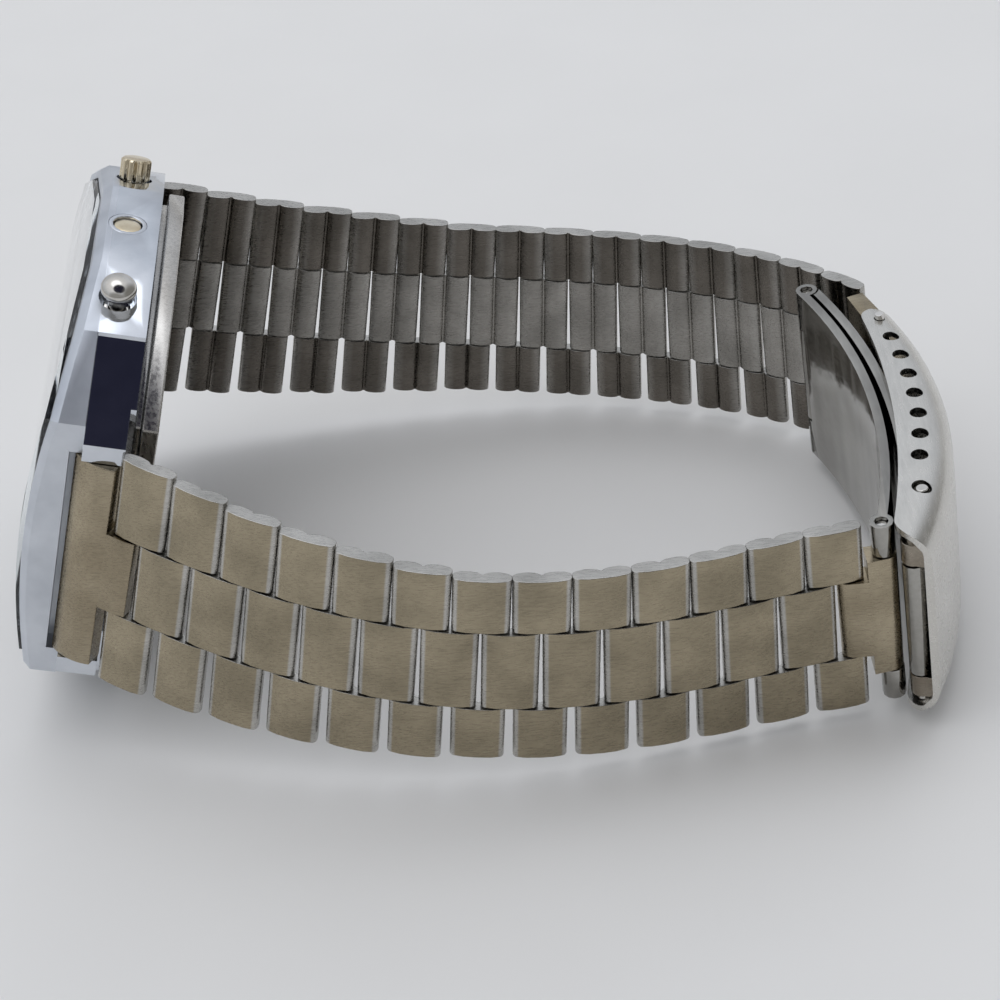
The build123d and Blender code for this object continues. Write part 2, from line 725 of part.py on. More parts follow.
near_button = button_plane(facet_middle, facet_turn)
far_button = button_plane((-facet_middle[0], facet_middle[1]), -facet_turn)
flush_place = button_plane((0, case_width / 2), 0)


def add_ring(plane, radius, low, high, mode=Mode.ADD, inner=0):
    with BuildSketch(plane.offset(low)) as face:
        round_face(radius, mode == Mode.SUBTRACT)
        if inner:
            round_face(inner, inner > groove_radius, mode=Mode.SUBTRACT)
    extrude(face.sketch, amount=high - low, mode=mode)


stem_hole = stem_radius + pusher_fit
spring_floor = -socket_depth - spring_depth
clip_top = -case_wall - clip_gap
stem_low = clip_top - clip_thick - stem_end

lower_body = outline(case_corners + lug_corners, 0)
crystal_pocket = curved_slab(crystal_inset - crystal_seal, crystal_proud - crystal_thick, crystal_thick)
under_crystal = curved_slab(crystal_inset + crystal_ledge, -case_height, crystal_thick)
front_body = curved_slab(0, -case_height, 0)
case_below = block((0, 0), (2 * case_length, 2 * case_width), -2 * case_height, lug_height)
shelf_below = block((0, 0), (2 * case_length, 2 * case_width), -2 * case_height, module_top)
end_recess = [block((side * (recess_edge + case_length) / 4 + side * cut_over / 2, 0),
                    ((case_length - recess_edge) / 2 + cut_over, lug_width), -cut_over, recess_height)
              for side in (1, -1)]
lug_feet = [block((side * (recess_edge + case_length) / 4 + side * cut_over / 2, 0),
                  ((case_length - recess_edge) / 2 + cut_over, case_width), -cut_over, lug_foot)
            for side in (1, -1)]
bar_planes = [Plane(origin=case_plane.origin + case_plane.x_dir * side * bar_span / 2
                    + case_plane.z_dir * bar_height, x_dir=case_plane.x_dir, z_dir=case_plane.y_dir)
              for side in (1, -1)]

with BuildPart() as case_body:
    add(front_body)
    add(case_below, mode=Mode.SUBTRACT)
    chamfer(case_body.faces().filter_by(GeomType.CYLINDER).edges(), case_round)
    extrude(lower_body, amount=lug_height)
    add(crystal_pocket, mode=Mode.SUBTRACT)
    add(under_crystal - shelf_below, mode=Mode.SUBTRACT)
    add(slab(case_wall, -cut_over, module_top + cut_over), mode=Mode.SUBTRACT)
    add(slab(case_wall - boss_thick, -cut_over, boss_height), mode=Mode.SUBTRACT)
    for recess in end_recess + lug_feet:
        add(recess, mode=Mode.SUBTRACT)
    for bar_plane in bar_planes:
        tip_end = lug_width / 2 + bar_tip + lug_clearance
        add_ring(bar_plane, bar_tip_radius + clasp_pin_fit, -tip_end, tip_end, Mode.SUBTRACT)
    for plane, radius in ((near_button, pusher_radius + pusher_fit), (far_button, pusher_radius + pusher_fit),
                          (flush_place, flush_ring_radius)):
        add_ring(plane, radius, -socket_depth, cut_over, Mode.SUBTRACT)
        add_ring(plane, spring_radius, spring_floor, 0, Mode.SUBTRACT)
        add_ring(plane, stem_hole, -case_wall - cut_over, 0, Mode.SUBTRACT)
keep("case_body", case_body.part)

with BuildPart() as case_back:
    add(slab(back_inset, -back_gap - back_rim, -back_gap))
    add(slab(back_neck_inset, -back_gap, 0))
    add(slab(case_wall - boss_thick + module_fit / 2, 0, boss_height - module_fit))
    add(slab(case_wall + module_fit / 2, 0, boss_height), mode=Mode.SUBTRACT)
    add(slab(back_neck_inset + gasket_gap, -gasket_thick, 0)
        - slab(back_neck_inset + gasket_gap + gasket_width, -gasket_thick, 0), mode=Mode.SUBTRACT)
keep("case_back", case_back.part)

with BuildPart() as back_gasket:
    add(slab(back_neck_inset + gasket_gap, -gasket_thick, 0))
    add(slab(back_neck_inset + gasket_gap + gasket_width, -gasket_thick, 0), mode=Mode.SUBTRACT)
keep("back_gasket", back_gasket.part)

with BuildPart() as crystal:
    add(curved_slab(crystal_inset, crystal_proud - crystal_thick, crystal_proud))
keep("crystal", crystal.part)

with BuildPart() as crystal_gasket:
    add(curved_slab(crystal_inset - crystal_seal, crystal_proud - crystal_thick, 0))
    add(slab(crystal_inset, 0, 2 * case_height), mode=Mode.SUBTRACT)
keep("crystal_gasket", crystal_gasket.part)

with BuildPart() as dial_frame:
    add(slab(crystal_inset + crystal_ledge + module_fit / 2, module_top, module_top + dial_thick))
    add(block((0, 0), (window_height, window_span), 0, 2 * case_height), mode=Mode.SUBTRACT)
keep("dial_frame", dial_frame.part)

display_low = module_top - display_thick
with BuildPart() as display_panel:
    add(block((0, 0), (display_length, display_width), display_low, module_top))
keep("display_panel", display_panel.part)

board_top = board_height + board_thick
with BuildPart() as circuit_board:
    add(block((0, 0), (board_length, board_width), board_height, board_top))
    add(round_block(cell_place, cell_radius + cell_fit, 0, case_height), mode=Mode.SUBTRACT)
keep("circuit_board", circuit_board.part)

with BuildPart() as button_cell:
    add(round_block(cell_place, cell_radius, strap_thick, strap_thick + cell_thick))
keep("button_cell", button_cell.part)

with BuildPart() as battery_strap:
    add(block(cell_place, (strap_length, strap_width), 0, strap_thick))
keep("battery_strap", battery_strap.part)

# Pockets in the holder leave the inner ends of the button stems free
stem_pocket = -stem_low - case_wall + pusher_travel + module_fit
with BuildPart() as module_holder:
    add(slab(case_wall + module_fit, strap_thick, module_top))
    add(block((0, 0), (display_length + 2 * panel_fit, display_width + 2 * panel_fit), display_low, case_height),
        mode=Mode.SUBTRACT)
    add(block((0, 0), (board_length + 2 * panel_fit, board_width + 2 * panel_fit), -cut_over, board_top),
        mode=Mode.SUBTRACT)
    add(round_block(cell_place, cell_radius + cell_fit, -cut_over, strap_thick + cell_thick), mode=Mode.SUBTRACT)
    for plane in (near_button, far_button, flush_place):
        with BuildSketch(plane.offset(-case_wall - stem_pocket)) as pocket:
            Rectangle(2 * (clip_radius + module_fit), 2 * (clip_radius + module_fit))
        extrude(pocket.sketch, amount=2 * stem_pocket, mode=Mode.SUBTRACT)
keep("module_holder", module_holder.part)


def make_button(name, plane, radius, top, travel, dome):
    """Button with its head, stem, sealing ring and the ring that holds it."""
    head_low = travel - socket_depth
    with BuildPart() as button:
        if dome > pusher_edge:
            with BuildSketch(Plane(origin=plane.origin, x_dir=plane.x_dir, z_dir=plane.y_dir * -1)) as cap:
                with BuildLine():
                    base, rise = top - dome, dome
                    ball = (radius ** 2 + rise ** 2) / (2 * rise)
                    half_turn = asin(radius / ball) / 2
                    middle = (ball * sin(half_turn), top - ball + ball * cos(half_turn))
                    ThreePointArc((0, top), middle, (radius, base))
                    Polyline((radius, base), (radius, head_low), (0, head_low), (0, top))
                make_face()
            revolve(cap.sketch, axis=Axis(plane.origin, plane.z_dir))
        else:
            add_ring(plane, radius, head_low, top)
            if dome:
                chamfer(button.faces().sort_by(Axis(plane.origin, plane.z_dir))[-1].edges(), dome)
        add_ring(plane, stem_radius, stem_low, head_low)
        for low, high in ((clip_top - clip_thick, clip_top), (-seal_depth - seal_thick, -seal_depth)):
            add_ring(plane, stem_radius + cut_over, low, high, Mode.SUBTRACT, groove_radius)
    with BuildPart() as rings:
        add_ring(plane, clip_radius, clip_top - clip_thick, clip_top, inner=groove_radius)
        add_ring(plane, stem_hole - seal_gap, -seal_depth - seal_thick, -seal_depth, inner=groove_radius)
    keep(name, Compound(children=[button.part] + list(rings.part.solids())))


make_button("near_pusher", near_button, pusher_radius, pusher_reach, pusher_travel, pusher_dome)
make_button("far_pusher", far_button, pusher_radius, pusher_reach, pusher_travel, pusher_edge)
make_button("flush_button", flush_place, flush_radius, -flush_recess, flush_travel, 0)

with BuildPart() as flush_ring:
    add_ring(flush_place, flush_ring_radius, -socket_depth, 0, inner=flush_radius + pusher_fit)
keep("flush_ring", flush_ring.part)

with BuildPart() as button_springs:
    for plane in (near_button, far_button, flush_place):
        add_ring(plane, spring_radius - spring_fit, spring_floor, -socket_depth - spring_fit,
                 inner=stem_radius + spring_fit)
keep("button_springs", button_springs.part)

for name, bar_plane in (("near_spring_bar", bar_planes[0]), ("far_spring_bar", bar_planes[1])):
    with BuildPart() as spring_bar:
        half_bar = lug_width / 2 - lug_clearance
        add_ring(bar_plane, bar_radius, -half_bar, half_bar)
        add_ring(bar_plane, bar_tip_radius, -half_bar - bar_tip, half_bar + bar_tip)
    keep(name, spring_bar.part)

# The origin of every file is the middle of the floor under the whole watch
boxes = [part.bounding_box() for part in pieces.values()]
lowest = [min(box.min.X for box in boxes), min(box.min.Y for box in boxes), min(box.min.Z for box in boxes)]
highest = [max(box.max.X for box in boxes), max(box.max.Y for box in boxes)]
shift = Vector(-(lowest[0] + highest[0]) / 2, -(lowest[1] + highest[1]) / 2, -lowest[2])
for name, part in pieces.items():
    placed = part.moved(Location(shift))
    placed.label = name
    export_step(placed, f"parts/{name}.step")
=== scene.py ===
import json
import math

import bmesh
import bpy
from mathutils import Matrix, Vector

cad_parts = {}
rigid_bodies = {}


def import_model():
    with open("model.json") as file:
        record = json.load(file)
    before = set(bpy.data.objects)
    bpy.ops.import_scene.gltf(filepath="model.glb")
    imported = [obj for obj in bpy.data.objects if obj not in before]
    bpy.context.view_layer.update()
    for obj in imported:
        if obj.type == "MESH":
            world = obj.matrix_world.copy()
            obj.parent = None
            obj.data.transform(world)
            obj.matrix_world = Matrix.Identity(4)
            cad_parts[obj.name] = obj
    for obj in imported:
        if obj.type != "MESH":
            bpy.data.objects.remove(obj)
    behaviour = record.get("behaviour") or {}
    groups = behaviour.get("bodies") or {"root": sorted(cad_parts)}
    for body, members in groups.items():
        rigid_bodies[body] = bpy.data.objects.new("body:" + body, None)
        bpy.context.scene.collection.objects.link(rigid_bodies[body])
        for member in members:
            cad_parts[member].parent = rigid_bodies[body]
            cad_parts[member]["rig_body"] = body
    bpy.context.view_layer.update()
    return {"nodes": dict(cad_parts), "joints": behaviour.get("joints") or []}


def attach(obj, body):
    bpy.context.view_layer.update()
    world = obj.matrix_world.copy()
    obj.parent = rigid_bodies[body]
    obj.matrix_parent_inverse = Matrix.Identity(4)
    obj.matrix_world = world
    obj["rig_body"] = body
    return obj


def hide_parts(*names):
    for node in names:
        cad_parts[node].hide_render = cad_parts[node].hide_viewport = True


# Looks of the digital watch: links, clasp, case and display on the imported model
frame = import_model()
nodes = frame["nodes"]
joints = {joint["name"]: joint for joint in frame["joints"]}
bodyOf = {name: node["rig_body"] for name, node in nodes.items()}
millimetre = 0.001
print("frame loaded")


# Node materials
hairStretch = (1, 1, 12)
fineBump = 0.00002
grainBump = 0.00003


def newMaterial(name):
    material = bpy.data.materials.new(name)
    material.use_nodes = True
    tree = material.node_tree
    shader = tree.nodes["Principled BSDF"]
    return material, tree, shader


def addNode(tree, kind, **values):
    node = tree.nodes.new(kind)
    for key, value in values.items():
        setattr(node, key, value)
    return node


# Noise on the piece's own coordinates, drawn out along one direction
def objectNoise(tree, scale, detail, stretch=(1, 1, 1)):
    place = addNode(tree, "ShaderNodeTexCoord")
    mapping = addNode(tree, "ShaderNodeMapping")
    mapping.inputs["Scale"].default_value = stretch
    noise = addNode(tree, "ShaderNodeTexNoise")
    noise.inputs["Scale"].default_value = scale
    noise.inputs["Detail"].default_value = detail
    tree.links.new(place.outputs["Object"], mapping.inputs["Vector"])
    tree.links.new(mapping.outputs["Vector"], noise.inputs["Vector"])
    return noise.outputs["Fac"]


def ramp(tree, source, stops):
    node = addNode(tree, "ShaderNodeValToRGB")
    tree.links.new(source, node.inputs["Fac"])
    while len(node.color_ramp.elements) < len(stops):
        node.color_ramp.elements.new(0.5)
    for element, (place, color) in zip(node.color_ramp.elements, stops):
        element.position = place
        element.color = (*color, 1)
    return node.outputs["Color"]


def grey(value):
    return (value, value, value)


def wire(tree, links):
    for start, output, end, entrance in links:
        tree.links.new(start.outputs[output], end.inputs[entrance])


def multiplied(tree, color, tint, factor=None):
    mix = addNode(tree, "ShaderNodeMix", data_type="RGBA", blend_type="MULTIPLY")
    mix.inputs["Factor"].default_value = 1
    if factor is not None:
        tree.links.new(factor, mix.inputs["Factor"])
    tree.links.new(color, mix.inputs["A"])
    if isinstance(tint, tuple):
        mix.inputs["B"].default_value = (*tint, 1)
    else:
        tree.links.new(tint, mix.inputs["B"])
    return mix.outputs["Result"]


def bump(tree, shader, source, strength, distance):
    node = addNode(tree, "ShaderNodeBump")
    node.inputs["Strength"].default_value = strength
    node.inputs["Distance"].default_value = distance
    tree.links.new(source, node.inputs["Height"])
    tree.links.new(node.outputs["Normal"], shader.inputs["Normal"])


# Metal with fine scratches and blotches of tarnish. Folded links get painted shade inside and are worn
# outside
def brushedMetal(name, look):
    material, tree, shader = newMaterial(name)
    shader.inputs["Metallic"].default_value = 1
    scratches = objectNoise(tree, look["scratchScale"], 6, look["stretch"])
    blotches = objectNoise(tree, look["blotchScale"], 4)
    color = multiplied(tree, ramp(tree, blotches, ((0.35, look["dark"]), (0.65, look["light"]))),
                       ramp(tree, scratches, ((0.3, grey(look["scratchDark"])), (0.6, grey(1)))))
    # Painted shade: the inner colour darkens the lobes on the wrist side, scaled by each link's share
    if "inner" in look:
        inside = addNode(tree, "ShaderNodeAttribute", attribute_name="inside")
        shadeShare = addNode(tree, "ShaderNodeAttribute", attribute_name="shadeShare")
        share = addNode(tree, "ShaderNodeMath", operation="MULTIPLY")
        tree.links.new(inside.outputs["Fac"], share.inputs[0])
        tree.links.new(shadeShare.outputs["Fac"], share.inputs[1])
        color = multiplied(tree, color, look["inner"], share.outputs["Value"])
        worn = addNode(tree, "ShaderNodeAttribute", attribute_name="worn")
        color = multiplied(tree, color, look["worn"], worn.outputs["Fac"])
    tree.links.new(color, shader.inputs["Base Color"])
    low, high = look["roughness"]
    roughness = ramp(tree, scratches, ((0.3, grey(low)), (0.7, grey(high))))
    tree.links.new(roughness, shader.inputs["Roughness"])
    bump(tree, shader, scratches, look["bump"], look["bumpDepth"])
    return material


# Mirror metal with faint hairlines and smudges, satin in front of a plane if asked
def polishedMetal(name, look):
    material, tree, shader = newMaterial(name)
    shader.inputs["Metallic"].default_value = 1
    smudges = objectNoise(tree, look["smudgeScale"], 5)
    color = ramp(tree, smudges, ((0.35, look["dark"]), (0.6, look["light"])))
    tree.links.new(color, shader.inputs["Base Color"])
    low, high = look["roughness"]
    roughness = ramp(tree, smudges, ((0.4, grey(low)), (0.75, grey(high))))
    if "satin" in look:
        place = addNode(tree, "ShaderNodeTexCoord")
        height = addNode(tree, "ShaderNodeVectorMath", operation="DOT_PRODUCT")
        height.inputs[1].default_value = look["satin"]["axis"]
        front = addNode(tree, "ShaderNodeMapRange")
        front.inputs["From Min"].default_value = look["satin"]["start"]
        front.inputs["From Max"].default_value = look["satin"]["end"]
        front.inputs["To Max"].default_value = look["satin"]["roughness"]
        both = addNode(tree, "ShaderNodeMath", operation="MAXIMUM")
        tree.links.new(place.outputs["Object"], height.inputs[0])
        tree.links.new(height.outputs["Value"], front.inputs["Value"])
        tree.links.new(front.outputs["Result"], both.inputs[0])
        tree.links.new(roughness, both.inputs[1])
        roughness = both.outputs["Value"]
    tree.links.new(roughness, shader.inputs["Roughness"])
    hairlines = objectNoise(tree, look["hairScale"], 2, hairStretch)
    bump(tree, shader, hairlines, look["bump"], fineBump)
    return material


# Plastic, rubber or print with a fine grain
def plainSurface(name, look):
    material, tree, shader = newMaterial(name)
    grain = objectNoise(tree, look["grainScale"], 3)
    color = ramp(tree, grain, ((0.3, look["dark"]), (0.7, look["light"])))
    tree.links.new(color, shader.inputs["Base Color"])
    shader.inputs["Roughness"].default_value = look["roughness"]
    bump(tree, shader, grain, look["bump"], grainBump)
    return material


# Clear plastic: little bending of light, so that the display reads through the curve
def crystalGlass(look):
    material, tree, shader = newMaterial("crystalGlass")
    shader.inputs["Base Color"].default_value = (*look["tint"], 1)
    shader.inputs["Transmission Weight"].default_value = 1
    shader.inputs["IOR"].default_value = look["bending"]
    shader.inputs["Coat Weight"].default_value = 1
    shader.inputs["Coat Roughness"].default_value = look["coatRoughness"]
    smears = objectNoise(tree, look["smearScale"], 4)
    low, high = look["roughness"]
    roughness = ramp(tree, smears, ((0.45, grey(low)), (0.8, grey(high))))
    tree.links.new(roughness, shader.inputs["Roughness"])
    return material


# The inner colour is painted shade for the insides of the folded links
linkSteel = brushedMetal("linkSteel", {
    "scratchScale": 900, "stretch": (1.2, 9, 9), "blotchScale": 260, "dark": (0.41, 0.4, 0.375),
    "light": (0.56, 0.545, 0.515), "scratchDark": 0.82, "roughness": (0.22, 0.36), "bump": 0.08,
    "bumpDepth": 0.00003, "inner": (0.36, 0.335, 0.31), "worn": (0.72, 0.635, 0.48)})
endSteel = brushedMetal("endSteel", {
    "scratchScale": 900, "stretch": (1.2, 9, 9), "blotchScale": 200, "dark": (0.32, 0.27, 0.19),
    "light": (0.46, 0.395, 0.285), "scratchDark": 0.82, "roughness": (0.22, 0.36), "bump": 0.06,
    "bumpDepth": 0.00003})
# Steel for the cover's rolls: the cover's steel painted darker as shade, tinted brown as a painted
# reflection
shadedRollSteel = brushedMetal("shadedRollSteel", {
    "scratchScale": 900, "stretch": (1.2, 9, 9), "blotchScale": 300, "dark": (0.26, 0.225, 0.18),
    "light": (0.4, 0.36, 0.3), "scratchDark": 0.82, "roughness": (0.18, 0.3), "bump": 0.04,
    "bumpDepth": 0.00003})
satinSteel = brushedMetal("satinSteel", {
    "scratchScale": 500, "stretch": (7, 1.2, 7), "blotchScale": 120, "dark": (0.62, 0.605, 0.57),
    "light": (0.7, 0.685, 0.65), "scratchDark": 0.92, "roughness": (0.2, 0.3), "bump": 0.02,
    "bumpDepth": 0.00002})
backSteel = brushedMetal("backSteel", {
    "scratchScale": 700, "stretch": (6, 6, 1), "blotchScale": 150, "dark": (0.44, 0.42, 0.39),
    "light": (0.62, 0.6, 0.57), "scratchDark": 0.8, "roughness": (0.2, 0.34), "bump": 0.1,
    "bumpDepth": 0.00004})
bladeSteel = brushedMetal("bladeSteel", {
    "scratchScale": 500, "stretch": (6, 1, 6), "blotchScale": 150, "dark": (0.3, 0.29, 0.27),
    "light": (0.44, 0.43, 0.4), "scratchDark": 0.9, "roughness": (0.07, 0.15), "bump": 0.03,
    "bumpDepth": 0.00002})
caseChrome = polishedMetal("caseChrome", {
    "smudgeScale": 240, "dark": (0.6, 0.63, 0.68), "light": (0.7, 0.72, 0.76), "roughness": (0.05, 0.12),
    "hairScale": 1500, "bump": 0.02})
pinChrome = polishedMetal("pinChrome", {
    "smudgeScale": 500, "dark": (0.56, 0.54, 0.5), "light": (0.74, 0.72, 0.69), "roughness": (0.12, 0.22),
    "hairScale": 1500, "bump": 0.03})
goldPlate = polishedMetal("goldPlate", {
    "smudgeScale": 600, "dark": (0.62, 0.52, 0.36), "light": (0.78, 0.69, 0.52), "roughness": (0.1, 0.2),
    "hairScale": 1800, "bump": 0.04})
blackRubber = plainSurface("blackRubber", {
    "grainScale": 2500, "dark": (0.012, 0.012, 0.013), "light": (0.03, 0.03, 0.032), "roughness": 0.7,
    "bump": 0.1})
dialBlack = plainSurface("dialBlack", {
    "grainScale": 3000, "dark": (0.014, 0.015, 0.018), "light": (0.03, 0.031, 0.036), "roughness": 0.42,
    "bump": 0.08})
panelGrey = plainSurface("panelGrey", {
    "grainScale": 4000, "dark": (0.4, 0.42, 0.35), "light": (0.47, 0.49, 0.41), "roughness": 0.25,
    "bump": 0.02})
segmentInk = plainSurface("segmentInk", {
    "grainScale": 4000, "dark": (0.02, 0.02, 0.025), "light": (0.035, 0.035, 0.04), "roughness": 0.3,
    "bump": 0.02})
boardGreen = plainSurface("boardGreen", {
    "grainScale": 1500, "dark": (0.02, 0.09, 0.04), "light": (0.04, 0.14, 0.06), "roughness": 0.45,
    "bump": 0.05})
holderPlastic = plainSurface("holderPlastic", {
    "grainScale": 2500, "dark": (0.05, 0.05, 0.055), "light": (0.08, 0.08, 0.085), "roughness": 0.55,
    "bump": 0.1})
crystalLook = crystalGlass({
    "tint": (0.93, 0.96, 0.97), "bending": 1.08, "coatRoughness": 0.04, "smearScale": 300,
    "roughness": (0.02, 0.06)})
print("materials made")


# Pieces finished from their CAD nodes: merged, with rounded edges
cadMerge = {"distance": 1e-7, "flatAngle": 0.5}


def meshObject(name, mesh, material):
    piece = bpy.data.objects.new(name, mesh)
    bpy.context.scene.collection.objects.link(piece)
    mesh.materials.clear()
    mesh.materials.append(material)
    return piece


def cadCopy(nodeName):
    mesh = nodes[nodeName].data.copy()
    shape = bmesh.new()
    shape.from_mesh(mesh)
    bmesh.ops.remove_doubles(shape, verts=shape.verts, dist=cadMerge["distance"])
    bmesh.ops.dissolve_limit(shape, angle_limit=math.radians(cadMerge["flatAngle"]),
                             verts=shape.verts, edges=shape.edges)
    shape.to_mesh(mesh)
    shape.free()
    mesh.shade_smooth()
    return mesh


def addBevel(piece, width, segments, angle):
    modifier = piece.modifiers.new("edges", "BEVEL")
    modifier.width = width
    modifier.segments = segments
    modifier.limit_method = "ANGLE"
    modifier.angle_limit = math.radians(angle)
    modifier.harden_normals = True
    modifier.miter_outer = "MITER_ARC"


def fit(piece, nodeName):
    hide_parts(nodeName)
    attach(piece, bodyOf[nodeName])


def finish(nodeName, material, width=0.0001, segments=3, angle=34):
    piece = meshObject(nodeName + "_finish", cadCopy(nodeName), material)
    addBevel(piece, width, segments, angle)
    fit(piece, nodeName)


def evaluatedMesh(piece, name):
    bpy.context.view_layer.update()
    evaluated = piece.evaluated_get(bpy.context.evaluated_depsgraph_get())
    mesh = bpy.data.meshes.new_from_object(evaluated)
    mesh.name = name
    piece.modifiers.clear()
    bpy.data.objects.remove(piece)
    return mesh


def fromShape(name, shape):
    mesh = bpy.data.meshes.new(name)
    shape.to_mesh(mesh)
    shape.free()
    return mesh


def arcPoints(center, radius, start, end, steps):
    turns = [math.radians(start + (end - start) * step / steps) for step in range(steps + 1)]
    x, y = center
    return [(x + radius * math.cos(turn), y + radius * math.sin(turn)) for turn in turns]


# The band's loop in millimetres, on a sheet that bends up at both ends, as in the part's source
bandShape = {
    "lean": 17.5, "arch": 151.5, "caseTurn": 3.3, "barSpan": 34.8, "barBack": 2.6, "endReach": 2.9,
    "halfPitch": 2.125, "claspHeading": 82.8, "claspLength": 24.8, "caseWidth": 20.0, "claspWidth": 16.0,
    "taperPairs": 7, "sharpestBow": 9, "solveSteps": 50}
bandHalves = {
    "near": {"pairs": 13, "side": 1, "lastReach": 2.6, "chordShare": 0.9745,
             "bows": (0, 1, 1.6, 1.5, 0.5, -2.4), "endTurns": (0, 0)},
    "far": {"pairs": 15, "side": -1, "lastReach": 5.7, "chordShare": 0.907,
            "bows": (0.1, 0.9, 2.4, 4.9, 6.8, 8.2), "endTurns": (24, 24)}}


def pinLengths(half):
    count = 2 * half["pairs"] - 1
    return [bandShape["endReach"]] + [bandShape["halfPitch"]] * count + [half["lastReach"]]


# Share of the bow at a part of the way along a half, between the listed shares
def bowAt(bows, part):
    place = part * (len(bows) - 1)
    step = min(int(place), len(bows) - 2)
    return bows[step] + (bows[step + 1] - bows[step]) * (place - step)


# Pins one after the other from the spring bar, each turned on by its share of the bow
def bentChain(half, turn, side):
    lengths = pinLengths(half)
    heading = 0
    places = [Vector((0, 0))]
    for index, length in enumerate(lengths):
        if index == 1:
            heading += side * math.radians(half["endTurns"][0])
        if index == len(lengths) - 1:
            heading += side * math.radians(half["endTurns"][1])
        if index:
            heading += side * turn * bowAt(half["bows"], (index - 1) / (len(lengths) - 2))
        places.append(places[-1] + length * Vector((math.cos(heading), math.sin(heading))))
    return places


# Bows the half until it just reaches from start to end, then turns it into place
def chainBetween(half, start, end):
    low, high = 0, math.radians(bandShape["sharpestBow"])
    for _ in range(bandShape["solveSteps"]):
        turn = (low + high) / 2
        reach = bentChain(half, turn, 1)[-1].length
        low, high = (turn, high) if reach > (end - start).length else (low, turn)
    places = bentChain(half, low, half["side"])
    wanted, found = end - start, places[-1]
    spin = Matrix.Rotation(math.atan2(wanted.y, wanted.x) - math.atan2(found.y, found.x), 2)
    return [start + spin @ place for place in places]


def bandPlaces():
    turn = Matrix.Rotation(math.radians(bandShape["caseTurn"]), 2)
    bars = [turn @ Vector((-bandShape["barBack"], side * bandShape["barSpan"] / 2)) for side in (-1, 1)]
    heading = math.radians(bandShape["claspHeading"])
    claspStep = bandShape["claspLength"] * Vector((math.cos(heading), math.sin(heading)))
    reaches = [half["chordShare"] * sum(pinLengths(half)) for half in bandHalves.values()]
    toFar = bars[1] - claspStep - bars[0]
    along = (toFar.length_squared + reaches[0] ** 2 - reaches[1] ** 2) / (2 * toFar.length)
    off = math.sqrt(reaches[0] ** 2 - along ** 2)
    unit = toFar.normalized()
    nearHinge = bars[0] + unit * along + Vector((unit.y, -unit.x)) * off
    return {"near": chainBetween(bandHalves["near"], bars[0], nearHinge),
            "far": chainBetween(bandHalves["far"], bars[1], nearHinge + claspStep)}


def leanAt(along):
    return math.radians(bandShape["lean"]) - along / bandShape["arch"]


def onSheet(place):
    start, lean, arch = math.radians(bandShape["lean"]), leanAt(place.x), bandShape["arch"]
    return Vector((arch * (math.sin(start) - math.sin(lean)), place.y,
                   arch * (math.cos(start) - math.cos(lean)))) * millimetre


def widthDir(along):
    return Vector((math.sin(leanAt(along)), 0, math.cos(leanAt(along))))


pinPlaces = bandPlaces()
sheetShift = Vector(joints["near_band_1_hinge"]["pos_m"]) - onSheet(pinPlaces["near"][1])

# Folded links: one link of unit width, set on every place of a piece by a node tree
linkSize = {
    "reach": 0.001935, "crown": 0.00084, "shoulder": 0.0007, "edgeRound": 0.00042, "side": 0.0001,
    "lobeReach": 0.00095, "lobeDepth": 0.00046, "lobeTurn": 167, "lobeSteps": 12, "lobeFlatness": 0.8,
    "arcSteps": 5, "middleWidth": 0.0067, "rowGap": 0.00012, "bevel": 0.00006}
# How much longer the links are in rows that close up as the band twists
rowStretch = {"near": {"upper": 1.045, "middle": 1.045, "lower": 1.0},
              "far": {"upper": 1.06, "middle": 1.055, "lower": 1.0}}
# How strongly painted shade darkens the wrist side, for outer and middle links
wristShade = {"near": (0.8, 0.8), "far": (1.0, 0.45)}


# Outline of a link: a domed outside over two shallow folded lobes.
# A point is X, Y, its share of painted shade inside and how worn outside
def linkOutline(size):
    reach, top, edge = size["reach"], size["shoulder"], size["edgeRound"]
    crown, fall = size["crown"], (size["crown"] - size["shoulder"]) / 4
    half = [(0, crown, 0, 1), (reach / 2, crown - fall, 0, 1)]
    corner = arcPoints((reach - edge, top - edge), edge, 0, 90, size["arcSteps"])
    half += [(x, y, 0, 1 if step == 0 else 0) for step, (x, y) in enumerate(reversed(corner))]
    center = reach - size["lobeReach"]
    for step in range(size["lobeSteps"] + 1):
        turn = math.radians(size["lobeTurn"] * step / size["lobeSteps"])
        depth = size["lobeDepth"] * math.sin(turn) ** size["lobeFlatness"]
        # Painted shade rises over the first half of each lobe
        paintedShade = min(1, 2 * step / size["lobeSteps"])
        x = center + size["lobeReach"] * math.cos(turn)
        half.append((x, size["side"] - depth, paintedShade, 0))
    other = [(-x, y, paintedShade, worn) for x, y, paintedShade, worn in reversed(half[1:])]
    return half + other


def unitLinkMesh(size):
    points = linkOutline(size)
    shape = bmesh.new()
    for layer in ("inside", "worn"):
        shape.loops.layers.float.new(layer)
    inside, worn = shape.loops.layers.float["inside"], shape.loops.layers.float["worn"]
    rings = [[shape.verts.new((point[0], point[1], z)) for point in points] for z in (-0.5, 0.5)]
    shape.faces.new(rings[0])
    shape.faces.new(list(reversed(rings[1])))
    for step in range(len(points)):
        following = (step + 1) % len(points)
        low, high = rings
        face = shape.faces.new((low[following], low[step], high[step], high[following]))
        for loop, index in zip(face.loops, (following, step, step, following)):
            loop[inside], loop[worn] = points[index][2:]
    bmesh.ops.recalc_face_normals(shape, faces=shape.faces)
    return fromShape("linkUnit", shape)


